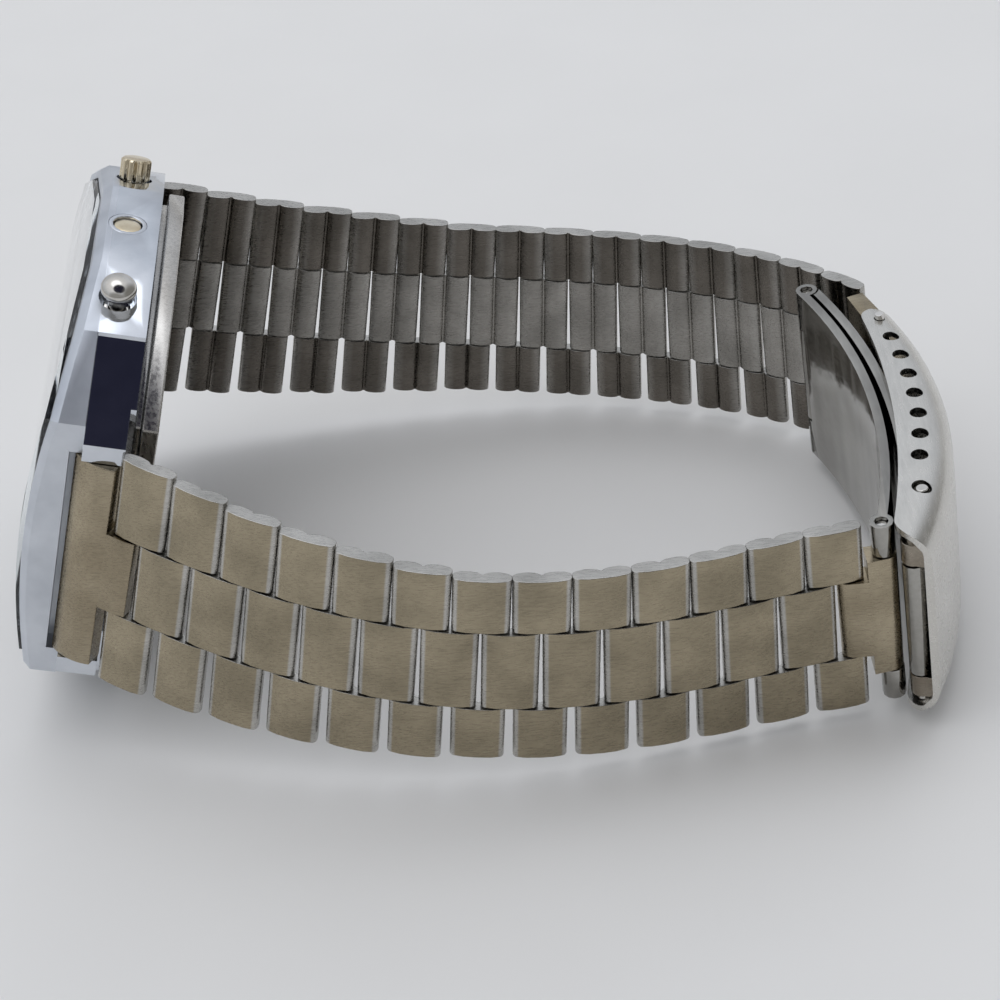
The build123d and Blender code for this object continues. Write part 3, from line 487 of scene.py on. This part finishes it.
# A node tree with its entry, exit and the identifiers of its named inputs
def geometryTree(name, inputs):
    tree = bpy.data.node_groups.new(name, "GeometryNodeTree")
    tree.interface.new_socket("Geometry", in_out="INPUT", socket_type="NodeSocketGeometry")
    sockets = {}
    for label, kind in inputs.items():
        socket = tree.interface.new_socket(label, in_out="INPUT", socket_type="NodeSocket" + kind)
        sockets[label] = socket.identifier
    tree.interface.new_socket("Geometry", in_out="OUTPUT", socket_type="NodeSocketGeometry")
    return tree, sockets, addNode(tree, "NodeGroupInput"), addNode(tree, "NodeGroupOutput")


def pointValue(tree, name):
    node = addNode(tree, "GeometryNodeInputNamedAttribute", data_type="FLOAT_VECTOR")
    node.inputs["Name"].default_value = name
    return node


# Mesh of a piece after its node tree has run with the given inputs
def grown(piece, made, values, meshName):
    tree, sockets = made
    modifier = piece.modifiers.new("grown", "NODES")
    modifier.node_group = tree
    for label, value in values.items():
        modifier[sockets[label]] = value
    return evaluatedMesh(piece, meshName)


# Sets the link on each point, turned and sized by the point's own values
def linkTree():
    tree, sockets, entry, leave = geometryTree("linkRow", {"Link": "Object", "Metal": "Material"})
    link = addNode(tree, "GeometryNodeObjectInfo")
    spread = addNode(tree, "GeometryNodeInstanceOnPoints")
    turn, size = pointValue(tree, "turn"), pointValue(tree, "size")
    rotation = addNode(tree, "FunctionNodeEulerToRotation")
    realize = addNode(tree, "GeometryNodeRealizeInstances")
    metal = addNode(tree, "GeometryNodeSetMaterial")
    wire(tree, (
        (entry, "Geometry", spread, "Points"), (entry, "Link", link, "Object"),
        (link, "Geometry", spread, "Instance"), (turn, "Attribute", rotation, "Euler"),
        (rotation, "Rotation", spread, "Rotation"), (size, "Attribute", spread, "Scale"),
        (spread, "Instances", realize, "Geometry"), (realize, "Geometry", metal, "Geometry"),
        (entry, "Metal", metal, "Material"), (metal, "Geometry", leave, "Geometry")))
    return tree, sockets


def linkPoints(name, places):
    mesh = bpy.data.meshes.new(name)
    mesh.from_pydata([place["at"] for place in places], [], [])
    for label, kind in (("turn", "FLOAT_VECTOR"), ("size", "FLOAT_VECTOR"), ("shadeShare", "FLOAT")):
        mesh.attributes.new(label, kind, "POINT")
    for index, place in enumerate(places):
        mesh.attributes["turn"].data[index].vector = place["turn"].to_euler()
        mesh.attributes["size"].data[index].vector = place["size"]
        mesh.attributes["shadeShare"].data[index].value = place["shadeShare"]
    return mesh


# Middle of two pins and the turn there: X along the band, Y out of it, Z across it
def linkPlace(first, last, out):
    start, end = onSheet(first) + sheetShift, onSheet(last) + sheetShift
    along = (end - start).normalized()
    width = widthDir((first.x + last.x) / 2)
    across = (width - along * width.dot(along)).normalized() * out
    return (start + end) / 2, Matrix((along, across.cross(along), across)).transposed()


# A piece for each outer pair and the middle link after it. Out is 1 or -1, the side away from the wrist
def makeLinks(name, out, unit, made):
    pins = pinPlaces[name]
    pairs = bandHalves[name]["pairs"]
    rows = rowStretch[name]
    # Shares of painted shade inside the outer and middle links
    outerShade, middleShade = wristShade[name]
    inner = linkSize["middleWidth"] / 2 + linkSize["rowGap"]
    for pair in range(pairs):
        nodeName = f"{name}_links_{pair + 1:02d}"
        taper = min(pair / (bandShape["taperPairs"] - 1), 1)
        width = bandShape["caseWidth"] + (bandShape["claspWidth"] - bandShape["caseWidth"]) * taper
        halfBand = width * millimetre / 2
        center, turn = linkPlace(pins[2 * pair + 1], pins[2 * pair + 2], out)
        places = []
        for side, row in ((-out, "lower"), (out, "upper")):
            shift = turn @ Vector((0, 0, side * (inner + halfBand) / 2))
            places.append({"at": center + shift, "turn": turn, "shadeShare": outerShade,
                           "size": (rows[row], 1, halfBand - inner)})
        if pair < pairs - 1:
            center, turn = linkPlace(pins[2 * pair + 2], pins[2 * pair + 3], out)
            places.append({"at": center, "turn": turn, "shadeShare": middleShade,
                           "size": (rows["middle"], 1, linkSize["middleWidth"])})
        seed = meshObject(nodeName + "_seed", linkPoints(nodeName, places), linkSteel)
        mesh = grown(seed, made, {"Link": unit, "Metal": linkSteel}, nodeName + "_mesh")
        mesh.shade_smooth()
        piece = meshObject(nodeName + "_finish", mesh, linkSteel)
        addBevel(piece, linkSize["bevel"], segments=2, angle=50)
        fit(piece, nodeName)


unitLink = meshObject("linkUnit", unitLinkMesh(linkSize), linkSteel)
linkRow = linkTree()
makeLinks("near", -1, unitLink, linkRow)
makeLinks("far", 1, unitLink, linkRow)
bpy.data.objects.remove(unitLink)
for name, width in (("near_end_link", 0.00014), ("far_end_link", 0.00014),
                    ("near_clasp_link", 0.00006), ("far_clasp_link", 0.00014)):
    finish(name, endSteel, width)
print("links made")


# Round pieces: a profile of radius and height turned about an axis, fluted where it is wide
def turnedMesh(name, place, profile, steps, flutes):
    shape = bmesh.new()
    rings = []
    for radius, height in profile:
        ring = []
        for step in range(steps):
            turn = 2 * math.pi * step / steps
            reach = radius
            if flutes and radius > flutes["from"]:
                reach -= flutes["depth"] * math.cos(turn * flutes["count"] / 2) ** flutes["power"]
            ring.append(shape.verts.new((reach * math.cos(turn), reach * math.sin(turn), height)))
        rings.append(ring)
    for low, high in zip(rings, rings[1:]):
        for step in range(steps):
            following = (step + 1) % steps
            shape.faces.new((low[step], low[following], high[following], high[step]))
    shape.faces.new(list(reversed(rings[0])))
    shape.faces.new(rings[-1])
    bmesh.ops.recalc_face_normals(shape, faces=shape.faces)
    mesh = fromShape(name, shape)
    mesh.transform(place)
    mesh.shade_smooth()
    return mesh


def turned(nodeName, place, profile, material, bevel=0.00005, steps=48, flutes=None):
    scaled = [(radius * millimetre, height * millimetre) for radius, height in profile]
    mesh = turnedMesh(nodeName + "_mesh", place, scaled, steps, flutes)
    piece = meshObject(nodeName + "_finish", mesh, material)
    addBevel(piece, bevel, segments=3, angle=40)
    fit(piece, nodeName)


# A rod, with thinner tips if they have a length
def rodProfile(radius, half, tip=0, tipRadius=0):
    profile = [(radius, -half), (radius, half)]
    if tip:
        low = [(tipRadius, -half - tip), (tipRadius, -half)]
        profile = low + profile + [(tipRadius, half), (tipRadius, half + tip)]
    return profile


# Clasp plane: origin on the near hinge, X to the far half, Y away from the wrist, in millimetres
clasp = {
    "fold": (30.1, -5.7), "coverHinge": (-0.95, 2.05), "length": 24.8, "pinRadius": 0.42, "bladeHalf": 7.8,
    "coverHalf": 8.15, "wall": 0.5, "plate": 0.55, "shoulder": 2.3, "innerRound": 1.5, "ends": 1.5,
    "outer": ((-2.2, 3.3), (9.5, 5.05), (26.4, 1.15)), "inner": ((-0.4, 0.9), (9.5, 1.15), (25.6, -1.5)),
    "rim": 0.1, "crownRise": 0.03, "stations": 56, "crowding": 2.6, "roundSteps": 7, "pinInset": 0.3,
    "latch": (3.3, 2.8), "latchRadius": 0.45, "barRadius": 0.5, "barHalf": 7.6, "barTip": (0.95, 0.35),
    "holes": 7, "holePitch": 2.55, "holeRowOut": 2.8, "holeRadius": 0.62, "wideHole": 0.7, "endHole": 0.42,
    "holeSteps": 28, "drillWidths": 2.4, "latchInset": 0.15, "rollRadius": 0.85, "rollSteps": 24,
    "rollTurns": (170, 480), "rollNeck": [(-1.7, 2.85), (-2.0, 2.8)], "rollSpan": (5.05, 6.9)}
claspAxis = Vector(joints["inner_blade_hinge"]["axis"]).normalized()
claspOrigin = Vector(joints["inner_blade_hinge"]["pos_m"])
toFold = Vector(joints["middle_blade_hinge"]["pos_m"]) - claspOrigin
toFold = (toFold - claspAxis * toFold.dot(claspAxis)).normalized()
claspX = Matrix.Rotation(-math.atan2(clasp["fold"][1], clasp["fold"][0]), 3, claspAxis) @ toFold
claspPlane = Matrix.Translation(claspOrigin) @ Matrix(
    (claspX, claspAxis.cross(claspX), claspAxis)).transposed().to_4x4()


def claspPlace(point):
    return claspPlane @ Matrix.Translation((point[0] * millimetre, point[1] * millimetre, 0))


# Height of the circle through three points, at a distance along the clasp
def arcHeight(points, along):
    (x1, y1), (x2, y2), (x3, y3) = points
    factor = 2 * (x1 * (y2 - y3) + x2 * (y3 - y1) + x3 * (y1 - y2))
    squares = [x * x + y * y for x, y in points]
    centerX = (squares[0] * (y2 - y3) + squares[1] * (y3 - y1) + squares[2] * (y1 - y2)) / factor
    centerY = (squares[0] * (x3 - x2) + squares[1] * (x1 - x3) + squares[2] * (x2 - x1)) / factor
    radius = math.hypot(x1 - centerX, y1 - centerY)
    return centerY + math.sqrt(radius ** 2 - (along - centerX) ** 2)


# A side and its rounded shoulder, above a cut
def cutRound(half, top, radius, bottom, steps):
    points = [(half, bottom)] + arcPoints((half - radius, top - radius), radius, 0, 90, steps)
    rise = bottom - (top - radius)
    edge = half - radius + math.sqrt(max(radius ** 2 - rise ** 2, 0)) if rise > 0 else half
    return [(min(z, edge), max(y, bottom)) for z, y in points]


# Section across the cover: a plate with large rounded shoulders between two side walls,
# which run out in a curve at both ends
def coverSection(along, size):
    top = arcHeight(size["outer"], along)
    inner = size["inner"]
    bottom = arcHeight(inner, min(max(along, inner[0][0]), inner[2][0]))
    if along < inner[0][0]:
        part = (inner[0][0] - along) / (inner[0][0] - size["outer"][0][0])
        bottom += (top - size["plate"] - size["rim"] - bottom) * (1 - math.sqrt(max(1 - part ** 2, 0)))
    left = max(size["outer"][2][0] - along, 0)
    if left < size["ends"]:
        bottom += size["ends"] - math.sqrt(max(size["ends"] ** 2 - (size["ends"] - left) ** 2, 0))
    bottom = min(bottom, top - size["plate"] - size["rim"])
    half, wall, plate = size["coverHalf"], size["wall"], size["plate"]
    side = cutRound(half, top, size["shoulder"], bottom, size["roundSteps"])
    side.append((half / 2, top + size["crownRise"]))
    under = cutRound(half - wall, top - plate, size["innerRound"], bottom, size["roundSteps"])
    outside = side + [(-z, y) for z, y in reversed(side)]
    inside = under + [(-z, y) for z, y in reversed(under)]
    return outside + list(reversed(inside))


shellMerge = 1e-6


# Sections close together at both ends of the cover and wider apart between
def coverMesh(size):
    start, end = size["outer"][0][0], size["outer"][2][0]
    shape = bmesh.new()
    rings = []
    for station in range(size["stations"] + 1):
        share = station / size["stations"]
        share -= math.sin(2 * math.pi * share) / (size["crowding"] * math.pi)
        along = start + (end - start) * share
        rings.append([shape.verts.new((along * millimetre, y * millimetre, z * millimetre))
                      for z, y in coverSection(along, size)])
    count = len(rings[0])
    for low, high in zip(rings, rings[1:]):
        for step in range(count):
            following = (step + 1) % count
            shape.faces.new((low[step], low[following], high[following], high[step]))
    half = count // 2
    for ring in (rings[0], rings[-1]):
        for step in range(half - 1):
            across = count - 1 - step
            shape.faces.new((ring[step], ring[step + 1], ring[across - 1], ring[across]))
    bmesh.ops.remove_doubles(shape, verts=shape.verts, dist=shellMerge)
    bmesh.ops.recalc_face_normals(shape, faces=shape.faces)
    return fromShape("coverShell", shape)


# Cuts a round hole through the cover at every point, sized by the point's own value
def holeTree(steps):
    tree, sockets, entry, leave = geometryTree("coverHoles", {
        "Row": "Object", "Depth": "Float", "Metal": "Material"})
    places = addNode(tree, "GeometryNodeObjectInfo")
    drill = addNode(tree, "GeometryNodeMeshCylinder")
    drill.inputs["Vertices"].default_value = steps
    drill.inputs["Radius"].default_value = 1
    spread = addNode(tree, "GeometryNodeInstanceOnPoints")
    size = pointValue(tree, "size")
    realize = addNode(tree, "GeometryNodeRealizeInstances")
    cut = addNode(tree, "GeometryNodeMeshBoolean", operation="DIFFERENCE", solver="EXACT")
    finished = addNode(tree, "GeometryNodeRealizeInstances")
    metal = addNode(tree, "GeometryNodeSetMaterial")
    wire(tree, (
        (entry, "Row", places, "Object"), (places, "Geometry", spread, "Points"),
        (entry, "Depth", drill, "Depth"), (drill, "Mesh", spread, "Instance"),
        (size, "Attribute", spread, "Scale"), (spread, "Instances", realize, "Geometry"),
        (entry, "Geometry", cut, "Mesh 1"), (realize, "Geometry", cut, "Mesh 2"),
        (cut, "Mesh", finished, "Geometry"), (finished, "Geometry", metal, "Geometry"),
        (entry, "Metal", metal, "Material"), (metal, "Geometry", leave, "Geometry")))
    return tree, sockets


# Places and radii of the holes: spring bar, latch bar and the row for adjusting
def holeRow(size):
    rows = [(size["length"], 0, size["endHole"]), (*size["latch"], size["wideHole"])]
    crown = size["outer"][1][0]
    for index in range(1, size["holes"] + 1):
        along = size["length"] - index * size["holePitch"]
        share = (along - size["length"]) / (crown - size["length"])
        rows.append((along, size["holeRowOut"] * share * (2 - share), size["holeRadius"]))
    mesh = bpy.data.meshes.new("holeRow")
    mesh.from_pydata([(x * millimetre, y * millimetre, 0) for x, y, _ in rows], [], [])
    sizes = mesh.attributes.new("size", "FLOAT_VECTOR", "POINT")
    for index, (_, _, radius) in enumerate(rows):
        sizes.data[index].vector = (radius * millimetre, radius * millimetre, 1)
    return mesh


rowPoints = meshObject("holeRow", holeRow(clasp), satinSteel)
coverSeed = meshObject("coverSeed", coverMesh(clasp), satinSteel)
drillDepth = clasp["drillWidths"] * clasp["coverHalf"] * millimetre
coverShell = grown(coverSeed, holeTree(clasp["holeSteps"]), {
    "Row": rowPoints, "Depth": drillDepth, "Metal": satinSteel}, "clasp_cover_mesh")
bpy.data.objects.remove(rowPoints)
print("cover drilled, faces:", len(coverShell.polygons))

# The cover's end rolls around its hinge pin on both sides of the middle blade
shape = bmesh.new()
rollOutline = arcPoints(clasp["coverHinge"], clasp["rollRadius"], *clasp["rollTurns"], clasp["rollSteps"])
rollOutline += clasp["rollNeck"]
innerEnd, outerEnd = clasp["rollSpan"]
for span in ((innerEnd, outerEnd), (-outerEnd, -innerEnd)):
    low, high = [[shape.verts.new((x * millimetre, y * millimetre, z * millimetre))
                  for x, y in rollOutline] for z in span]
    faces = [shape.faces.new(low), shape.faces.new(list(reversed(high)))]
    for step in range(len(rollOutline)):
        following = (step + 1) % len(rollOutline)
        faces.append(shape.faces.new((low[following], low[step], high[step], high[following])))
    bmesh.ops.recalc_face_normals(shape, faces=faces)
# The rolls take the darker steel: painted shade on the cover's ends
for name, mesh, metal in (("clasp_cover_finish", coverShell, satinSteel),
                          ("clasp_cover_rolls", fromShape("clasp_cover_rolls", shape), shadedRollSteel)):
    mesh.transform(claspPlane)
    mesh.shade_smooth()
    coverPiece = meshObject(name, mesh, metal)
    addBevel(coverPiece, width=0.00009, segments=2, angle=50)
    fit(coverPiece, "clasp_cover")

finish("inner_blade", bladeSteel, width=0.00006)
finish("middle_blade", bladeSteel, width=0.00012)
hingePin = rodProfile(clasp["pinRadius"], clasp["bladeHalf"] - clasp["pinInset"])
for name, point in (("near_hinge_pin", (0, 0)), ("fold_hinge_pin", clasp["fold"]),
                    ("cover_hinge_pin", clasp["coverHinge"])):
    turned(name, claspPlace(point), hingePin, pinChrome)
latchBar = rodProfile(clasp["latchRadius"], clasp["coverHalf"] - clasp["latchInset"])
turned("latch_bar", claspPlace(clasp["latch"]), latchBar, pinChrome, bevel=0.00012)
springBar = rodProfile(clasp["barRadius"], clasp["barHalf"], *clasp["barTip"])
turned("clasp_spring_bar", claspPlace((clasp["length"], 0)), springBar, pinChrome)
print("clasp made")

# Case plane: origin in the back plane of the case, X to 6 o'clock, Y to 3 o'clock, Z to the front.
# Sizes on it are in millimetres
caseSize = {
    "barSpan": 34.8, "barHeight": 2.0, "buttonHeight": 2.3, "sideFlat": 10.2, "shoulderLength": 23.2,
    "width": 34.4, "shoulderWidth": 30.4, "panelTop": 3.7, "barRadius": 0.5, "barHalf": 8.92,
    "barTip": (0.78, 0.35)}
caseY = -Vector(joints["flush_button_slide"]["axis"]).normalized()
nearSlide, farSlide = [Vector(joints[name]["axis"])
                       for name in ("near_pusher_slide", "far_pusher_slide")]
caseX = (farSlide - nearSlide).normalized()
caseZ = caseX.cross(caseY)
bodyPoints = [vertex.co for vertex in nodes["case_body"].data.vertices]
middles = []
for direction in (caseX, caseY):
    reaches = [point.dot(direction) for point in bodyPoints]
    middles.append(direction * (min(reaches) + max(reaches)) / 2)
caseOrigin = middles[0] + middles[1] + caseZ * min(point.dot(caseZ) for point in bodyPoints)
casePlane = Matrix.Translation(caseOrigin) @ Matrix((caseX, caseY, caseZ)).transposed().to_4x4()


# Turn and place of a round piece on the case, its Z along a direction in the case plane
def onCase(x, y, z, turn):
    outward = Vector((math.sin(turn), math.cos(turn), 0))
    across = Vector((math.cos(turn), -math.sin(turn), 0))
    spot = Matrix((across, outward.cross(across), outward)).transposed().to_4x4()
    return casePlane @ Matrix.Translation((x * millimetre, y * millimetre, z * millimetre)) @ spot


facetTurn = math.atan2(caseSize["width"] - caseSize["shoulderWidth"],
                       caseSize["shoulderLength"] - caseSize["sideFlat"])
facetX = (caseSize["sideFlat"] + caseSize["shoulderLength"]) / 4
facetY = (caseSize["width"] + caseSize["shoulderWidth"]) / 4
buttonHeight = caseSize["buttonHeight"]
stem = [(0.54, -4.92), (0.54, -4.64), (0.94, -4.62), (0.94, -4.34), (0.54, -4.32), (0.54, -0.35)]
ballWidth, ballRise, ballFoot = 1.27, 0.74, 0.95
ball = [(ballWidth * math.cos(math.radians(turn)), ballFoot + ballRise * math.sin(math.radians(turn)))
        for turn in range(0, 88, 8)]
domed = [(0.54, -0.27), (0.84, -0.27), (1.1, 0.02), (1.14, 0.55), (1.27, 0.78)] + ball + [(0.02, 1.69)]
drum = [(0.54, -0.27), (0.84, -0.27), (1.15, 0.04), (1.15, 1.45), (1.0, 1.6), (0.5, 1.64)]
disc = [(0.54, -0.57), (0.7, -0.57), (0.98, -0.28), (0.98, -0.2), (0.9, -0.14), (0.6, -0.125),
        (0.2, -0.13)]
# In metres, as turnedMesh takes them
drumFlutes = {"from": 0.0011, "depth": 0.0002, "count": 10, "power": 8}
turned("near_pusher", onCase(facetX, facetY, buttonHeight, facetTurn), stem + domed, pinChrome,
       bevel=0.00004)
turned("far_pusher", onCase(-facetX, facetY, buttonHeight, -facetTurn), stem + drum, goldPlate,
       bevel=0.00005, steps=96, flutes=drumFlutes)
turned("flush_button", onCase(0, caseSize["width"] / 2, buttonHeight, 0), stem[:5] + disc, goldPlate,
       bevel=0.00003)
lugBar = rodProfile(caseSize["barRadius"], caseSize["barHalf"], *caseSize["barTip"])
for name, side in (("near_spring_bar", 1), ("far_spring_bar", -1)):
    turned(name, onCase(side * caseSize["barSpan"] / 2, 0, caseSize["barHeight"], 0), lugBar,
           pinChrome)
# The front of the case is satin from 3.3 mm above its back plane, over a blend of 0.16 mm
satinFront = {"height": 0.0033, "halfBlend": 0.00008, "roughness": 0.42}
frontHeight = caseOrigin.dot(caseZ) + satinFront["height"]
bodyChrome = polishedMetal("bodyChrome", {
    "smudgeScale": 240, "dark": (0.55, 0.58, 0.63), "light": (0.66, 0.69, 0.74), "roughness": (0.05, 0.12),
    "hairScale": 1500, "bump": 0.02,
    "satin": {"axis": tuple(caseZ), "start": frontHeight - satinFront["halfBlend"],
              "end": frontHeight + satinFront["halfBlend"], "roughness": satinFront["roughness"]}})
finish("case_body", bodyChrome, width=0.00028, segments=4)
finish("case_back", backSteel, width=0.0002)
finish("flush_ring", caseChrome, width=0.00006)
crystalSharp = math.radians(20)
crystalMesh = cadCopy("crystal")
crystalMesh.set_sharp_from_angle(angle=crystalSharp)
fit(meshObject("crystal_finish", crystalMesh, crystalLook), "crystal")
for name, metal, slot, width in (
        ("crystal_gasket", blackRubber, "black_rubber", 0.00005),
        ("back_gasket", blackRubber, "black_rubber", 0.00005),
        ("dial_frame", dialBlack, "dial_black", 0.00006),
        ("display_panel", panelGrey, "display_grey", 0.00005),
        ("circuit_board", boardGreen, "board_green", 0.00003),
        ("module_holder", holderPlastic, "holder_plastic", 0.00008),
        ("button_cell", pinChrome, "cell_steel", 0.0001),
        ("battery_strap", pinChrome, "cell_steel", 0.00002),
        ("button_springs", pinChrome, "pin_steel", 0.00003)):
    finish(name, metal, width)

# Seven-segment digits on the display, read from the 6 o'clock side
digitSize = {
    "width": 2.3, "height": 4.6, "bar": 0.42, "gap": 0.1, "slant": 0.1, "low": 0.005, "high": 0.03,
    "step": 3.35, "dotHalf": 0.25, "dotPlace": 0.9}
litSegments = {"0": "abcdef", "1": "bc", "2": "abdeg", "8": "abcdefg"}


def segmentBox(segment, size):
    w, h, bar = size["width"] / 2, size["height"] / 2, size["bar"]
    boxes = {"a": (-w, h - bar, w, h), "g": (-w, -bar / 2, w, bar / 2), "d": (-w, -h, w, -h + bar),
             "b": (w - bar, 0, w, h), "c": (w - bar, -h, w, 0), "f": (-w, 0, -w + bar, h),
             "e": (-w, -h, -w + bar, 0)}
    left, low, right, high = boxes[segment]
    trim = size["gap"]
    return left + trim, low + trim, right - trim, high - trim


def displayMesh(text, size, panel):
    shape = bmesh.new()
    boxes = []
    start = -(len(text) - 1) / 2 * size["step"]
    for index, sign in enumerate(text):
        center = start + index * size["step"]
        if sign == ":":
            dot = size["dotHalf"]
            boxes += [(center - dot, y - dot, center + dot, y + dot)
                      for y in (-size["dotPlace"], size["dotPlace"])]
        else:
            for segment in litSegments[sign]:
                left, low, right, high = segmentBox(segment, size)
                boxes.append((center + left, low, center + right, high))
    for left, low, right, high in boxes:
        corners = [(x + size["slant"] * y, y)
                   for x, y in ((left, low), (right, low), (right, high), (left, high))]
        under, over = [[shape.verts.new((-y * millimetre, x * millimetre, (panel + z) * millimetre))
                        for x, y in corners] for z in (size["low"], size["high"])]
        shape.faces.new(list(reversed(under)))
        shape.faces.new(over)
        for step in range(4):
            following = (step + 1) % 4
            shape.faces.new((under[step], under[following], over[following], over[step]))
    bmesh.ops.recalc_face_normals(shape, faces=shape.faces)
    mesh = fromShape("displayDigits", shape)
    mesh.transform(casePlane)
    return mesh


digits = meshObject("displayDigits", displayMesh("10:28", digitSize, caseSize["panelTop"]), segmentInk)
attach(digits, bodyOf["display_panel"])
print("case made")

# Floor, light and camera
studio = {"floorSize": 3, "cameraPlace": (0.0122, -0.14548, 0.11539), "down": 36.7, "roll": 5.75,
          "lens": 83.55, "sensor": 36, "worldStrength": 1.12}
floorMesh = bpy.data.meshes.new("floor")
half = studio["floorSize"] / 2
floorMesh.from_pydata([(-half, -half, 0), (half, -half, 0), (half, half, 0), (-half, half, 0)], [],
                      [(0, 1, 2, 3)])
floorLook = plainSurface("floorPaper", {
    "grainScale": 60, "dark": (0.715, 0.71, 0.7), "light": (0.73, 0.725, 0.715), "roughness": 0.55,
    "bump": 0})
floor = meshObject("floor", floorMesh, floorLook)

# World: a light tent, with the dark camera above the watch and a darker front
world = bpy.data.worlds.new("studio")
world.use_nodes = True
bpy.context.scene.world = world
sky = world.node_tree
background = sky.nodes["Background"]
skyPlace = addNode(sky, "ShaderNodeTexCoord")
split = addNode(sky, "ShaderNodeSeparateXYZ")
sky.links.new(skyPlace.outputs["Generated"], split.inputs["Vector"])
skyColor = ramp(sky, split.outputs["Z"], (
    (0, (0.5, 0.5, 0.5)), (0.3, (0.5, 0.52, 0.56)), (0.6, (0.62, 0.65, 0.7)), (1, (0.95, 0.96, 1))))


# Blends a tint into the sky around a direction: cosines of the angle at its edge and where it is full
def skyPatch(color, direction, edge, full, tint):
    toward = addNode(sky, "ShaderNodeVectorMath", operation="DOT_PRODUCT")
    sky.links.new(skyPlace.outputs["Generated"], toward.inputs[0])
    toward.inputs[1].default_value = Vector(direction).normalized()
    patch = addNode(sky, "ShaderNodeMapRange", interpolation_type="SMOOTHSTEP")
    patch.inputs["From Min"].default_value = edge
    patch.inputs["From Max"].default_value = full
    sky.links.new(toward.outputs["Value"], patch.inputs["Value"])
    mix = addNode(sky, "ShaderNodeMix", data_type="RGBA")
    sky.links.new(patch.outputs["Result"], mix.inputs["Factor"])
    sky.links.new(color, mix.inputs["A"])
    mix.inputs["B"].default_value = (*tint, 1)
    return mix.outputs["Result"]


ceilingLamp = ((0.1, 0.15, 1), 0.93, 0.975, (1.7, 1.75, 1.85))
darkCamera = ((0.32, -0.28, 0.9), 0.9, 0.94, (0.02, 0.02, 0.035))
dimFront = ((0, -1, 0.15), 0.6, 0.9, (0.3, 0.3, 0.3))
dimRight = ((1, -0.1, 0.1), 0.55, 0.9, (0.24, 0.24, 0.235))
for patch in (ceilingLamp, darkCamera, dimFront, dimRight):
    skyColor = skyPatch(skyColor, *patch)
sky.links.new(skyColor, background.inputs["Color"])
background.inputs["Strength"].default_value = studio["worldStrength"]


def areaLight(name, place, target, size, power, color):
    data = bpy.data.lights.new(name, "AREA")
    data.shape = "RECTANGLE"
    data.size, data.size_y = size
    data.energy = power
    data.color = color
    light = bpy.data.objects.new(name, data)
    light.location = place
    light.rotation_euler = (Vector(target) - Vector(place)).to_track_quat("-Z", "Y").to_euler()
    light.visible_glossy = False
    bpy.context.scene.collection.objects.link(light)


areaLight("topSoft", (-0.1, -0.08, 0.7), (0, -0.02, 0), (0.9, 0.9), 1.5, (1, 1, 1))
areaLight("leftSoft", (-0.6, -0.1, 0.35), (0, 0, 0.01), (0.5, 0.4), 0.5, (0.95, 0.97, 1))
areaLight("backSoft", (0.2, 0.7, 0.35), (0, 0, 0.01), (0.8, 0.3), 0.7, (1, 1, 1))

down, roll = math.radians(studio["down"]), math.radians(studio["roll"])
cameraData = bpy.data.cameras.new("camera")
cameraData.lens = studio["lens"]
cameraData.sensor_width = studio["sensor"]
camera = bpy.data.objects.new("camera", cameraData)
right = Vector((math.cos(roll), 0, -math.sin(roll)))
ahead = Vector((-math.sin(down) * math.sin(roll), math.cos(down), -math.sin(down) * math.cos(roll)))
upward = right.cross(ahead)
camera.matrix_world = Matrix.Translation(studio["cameraPlace"]) @ Matrix(
    (right, upward, -ahead)).transposed().to_4x4()
bpy.context.scene.collection.objects.link(camera)
bpy.context.scene.camera = camera
bpy.context.scene.view_settings.view_transform = "Standard"
print("studio made")
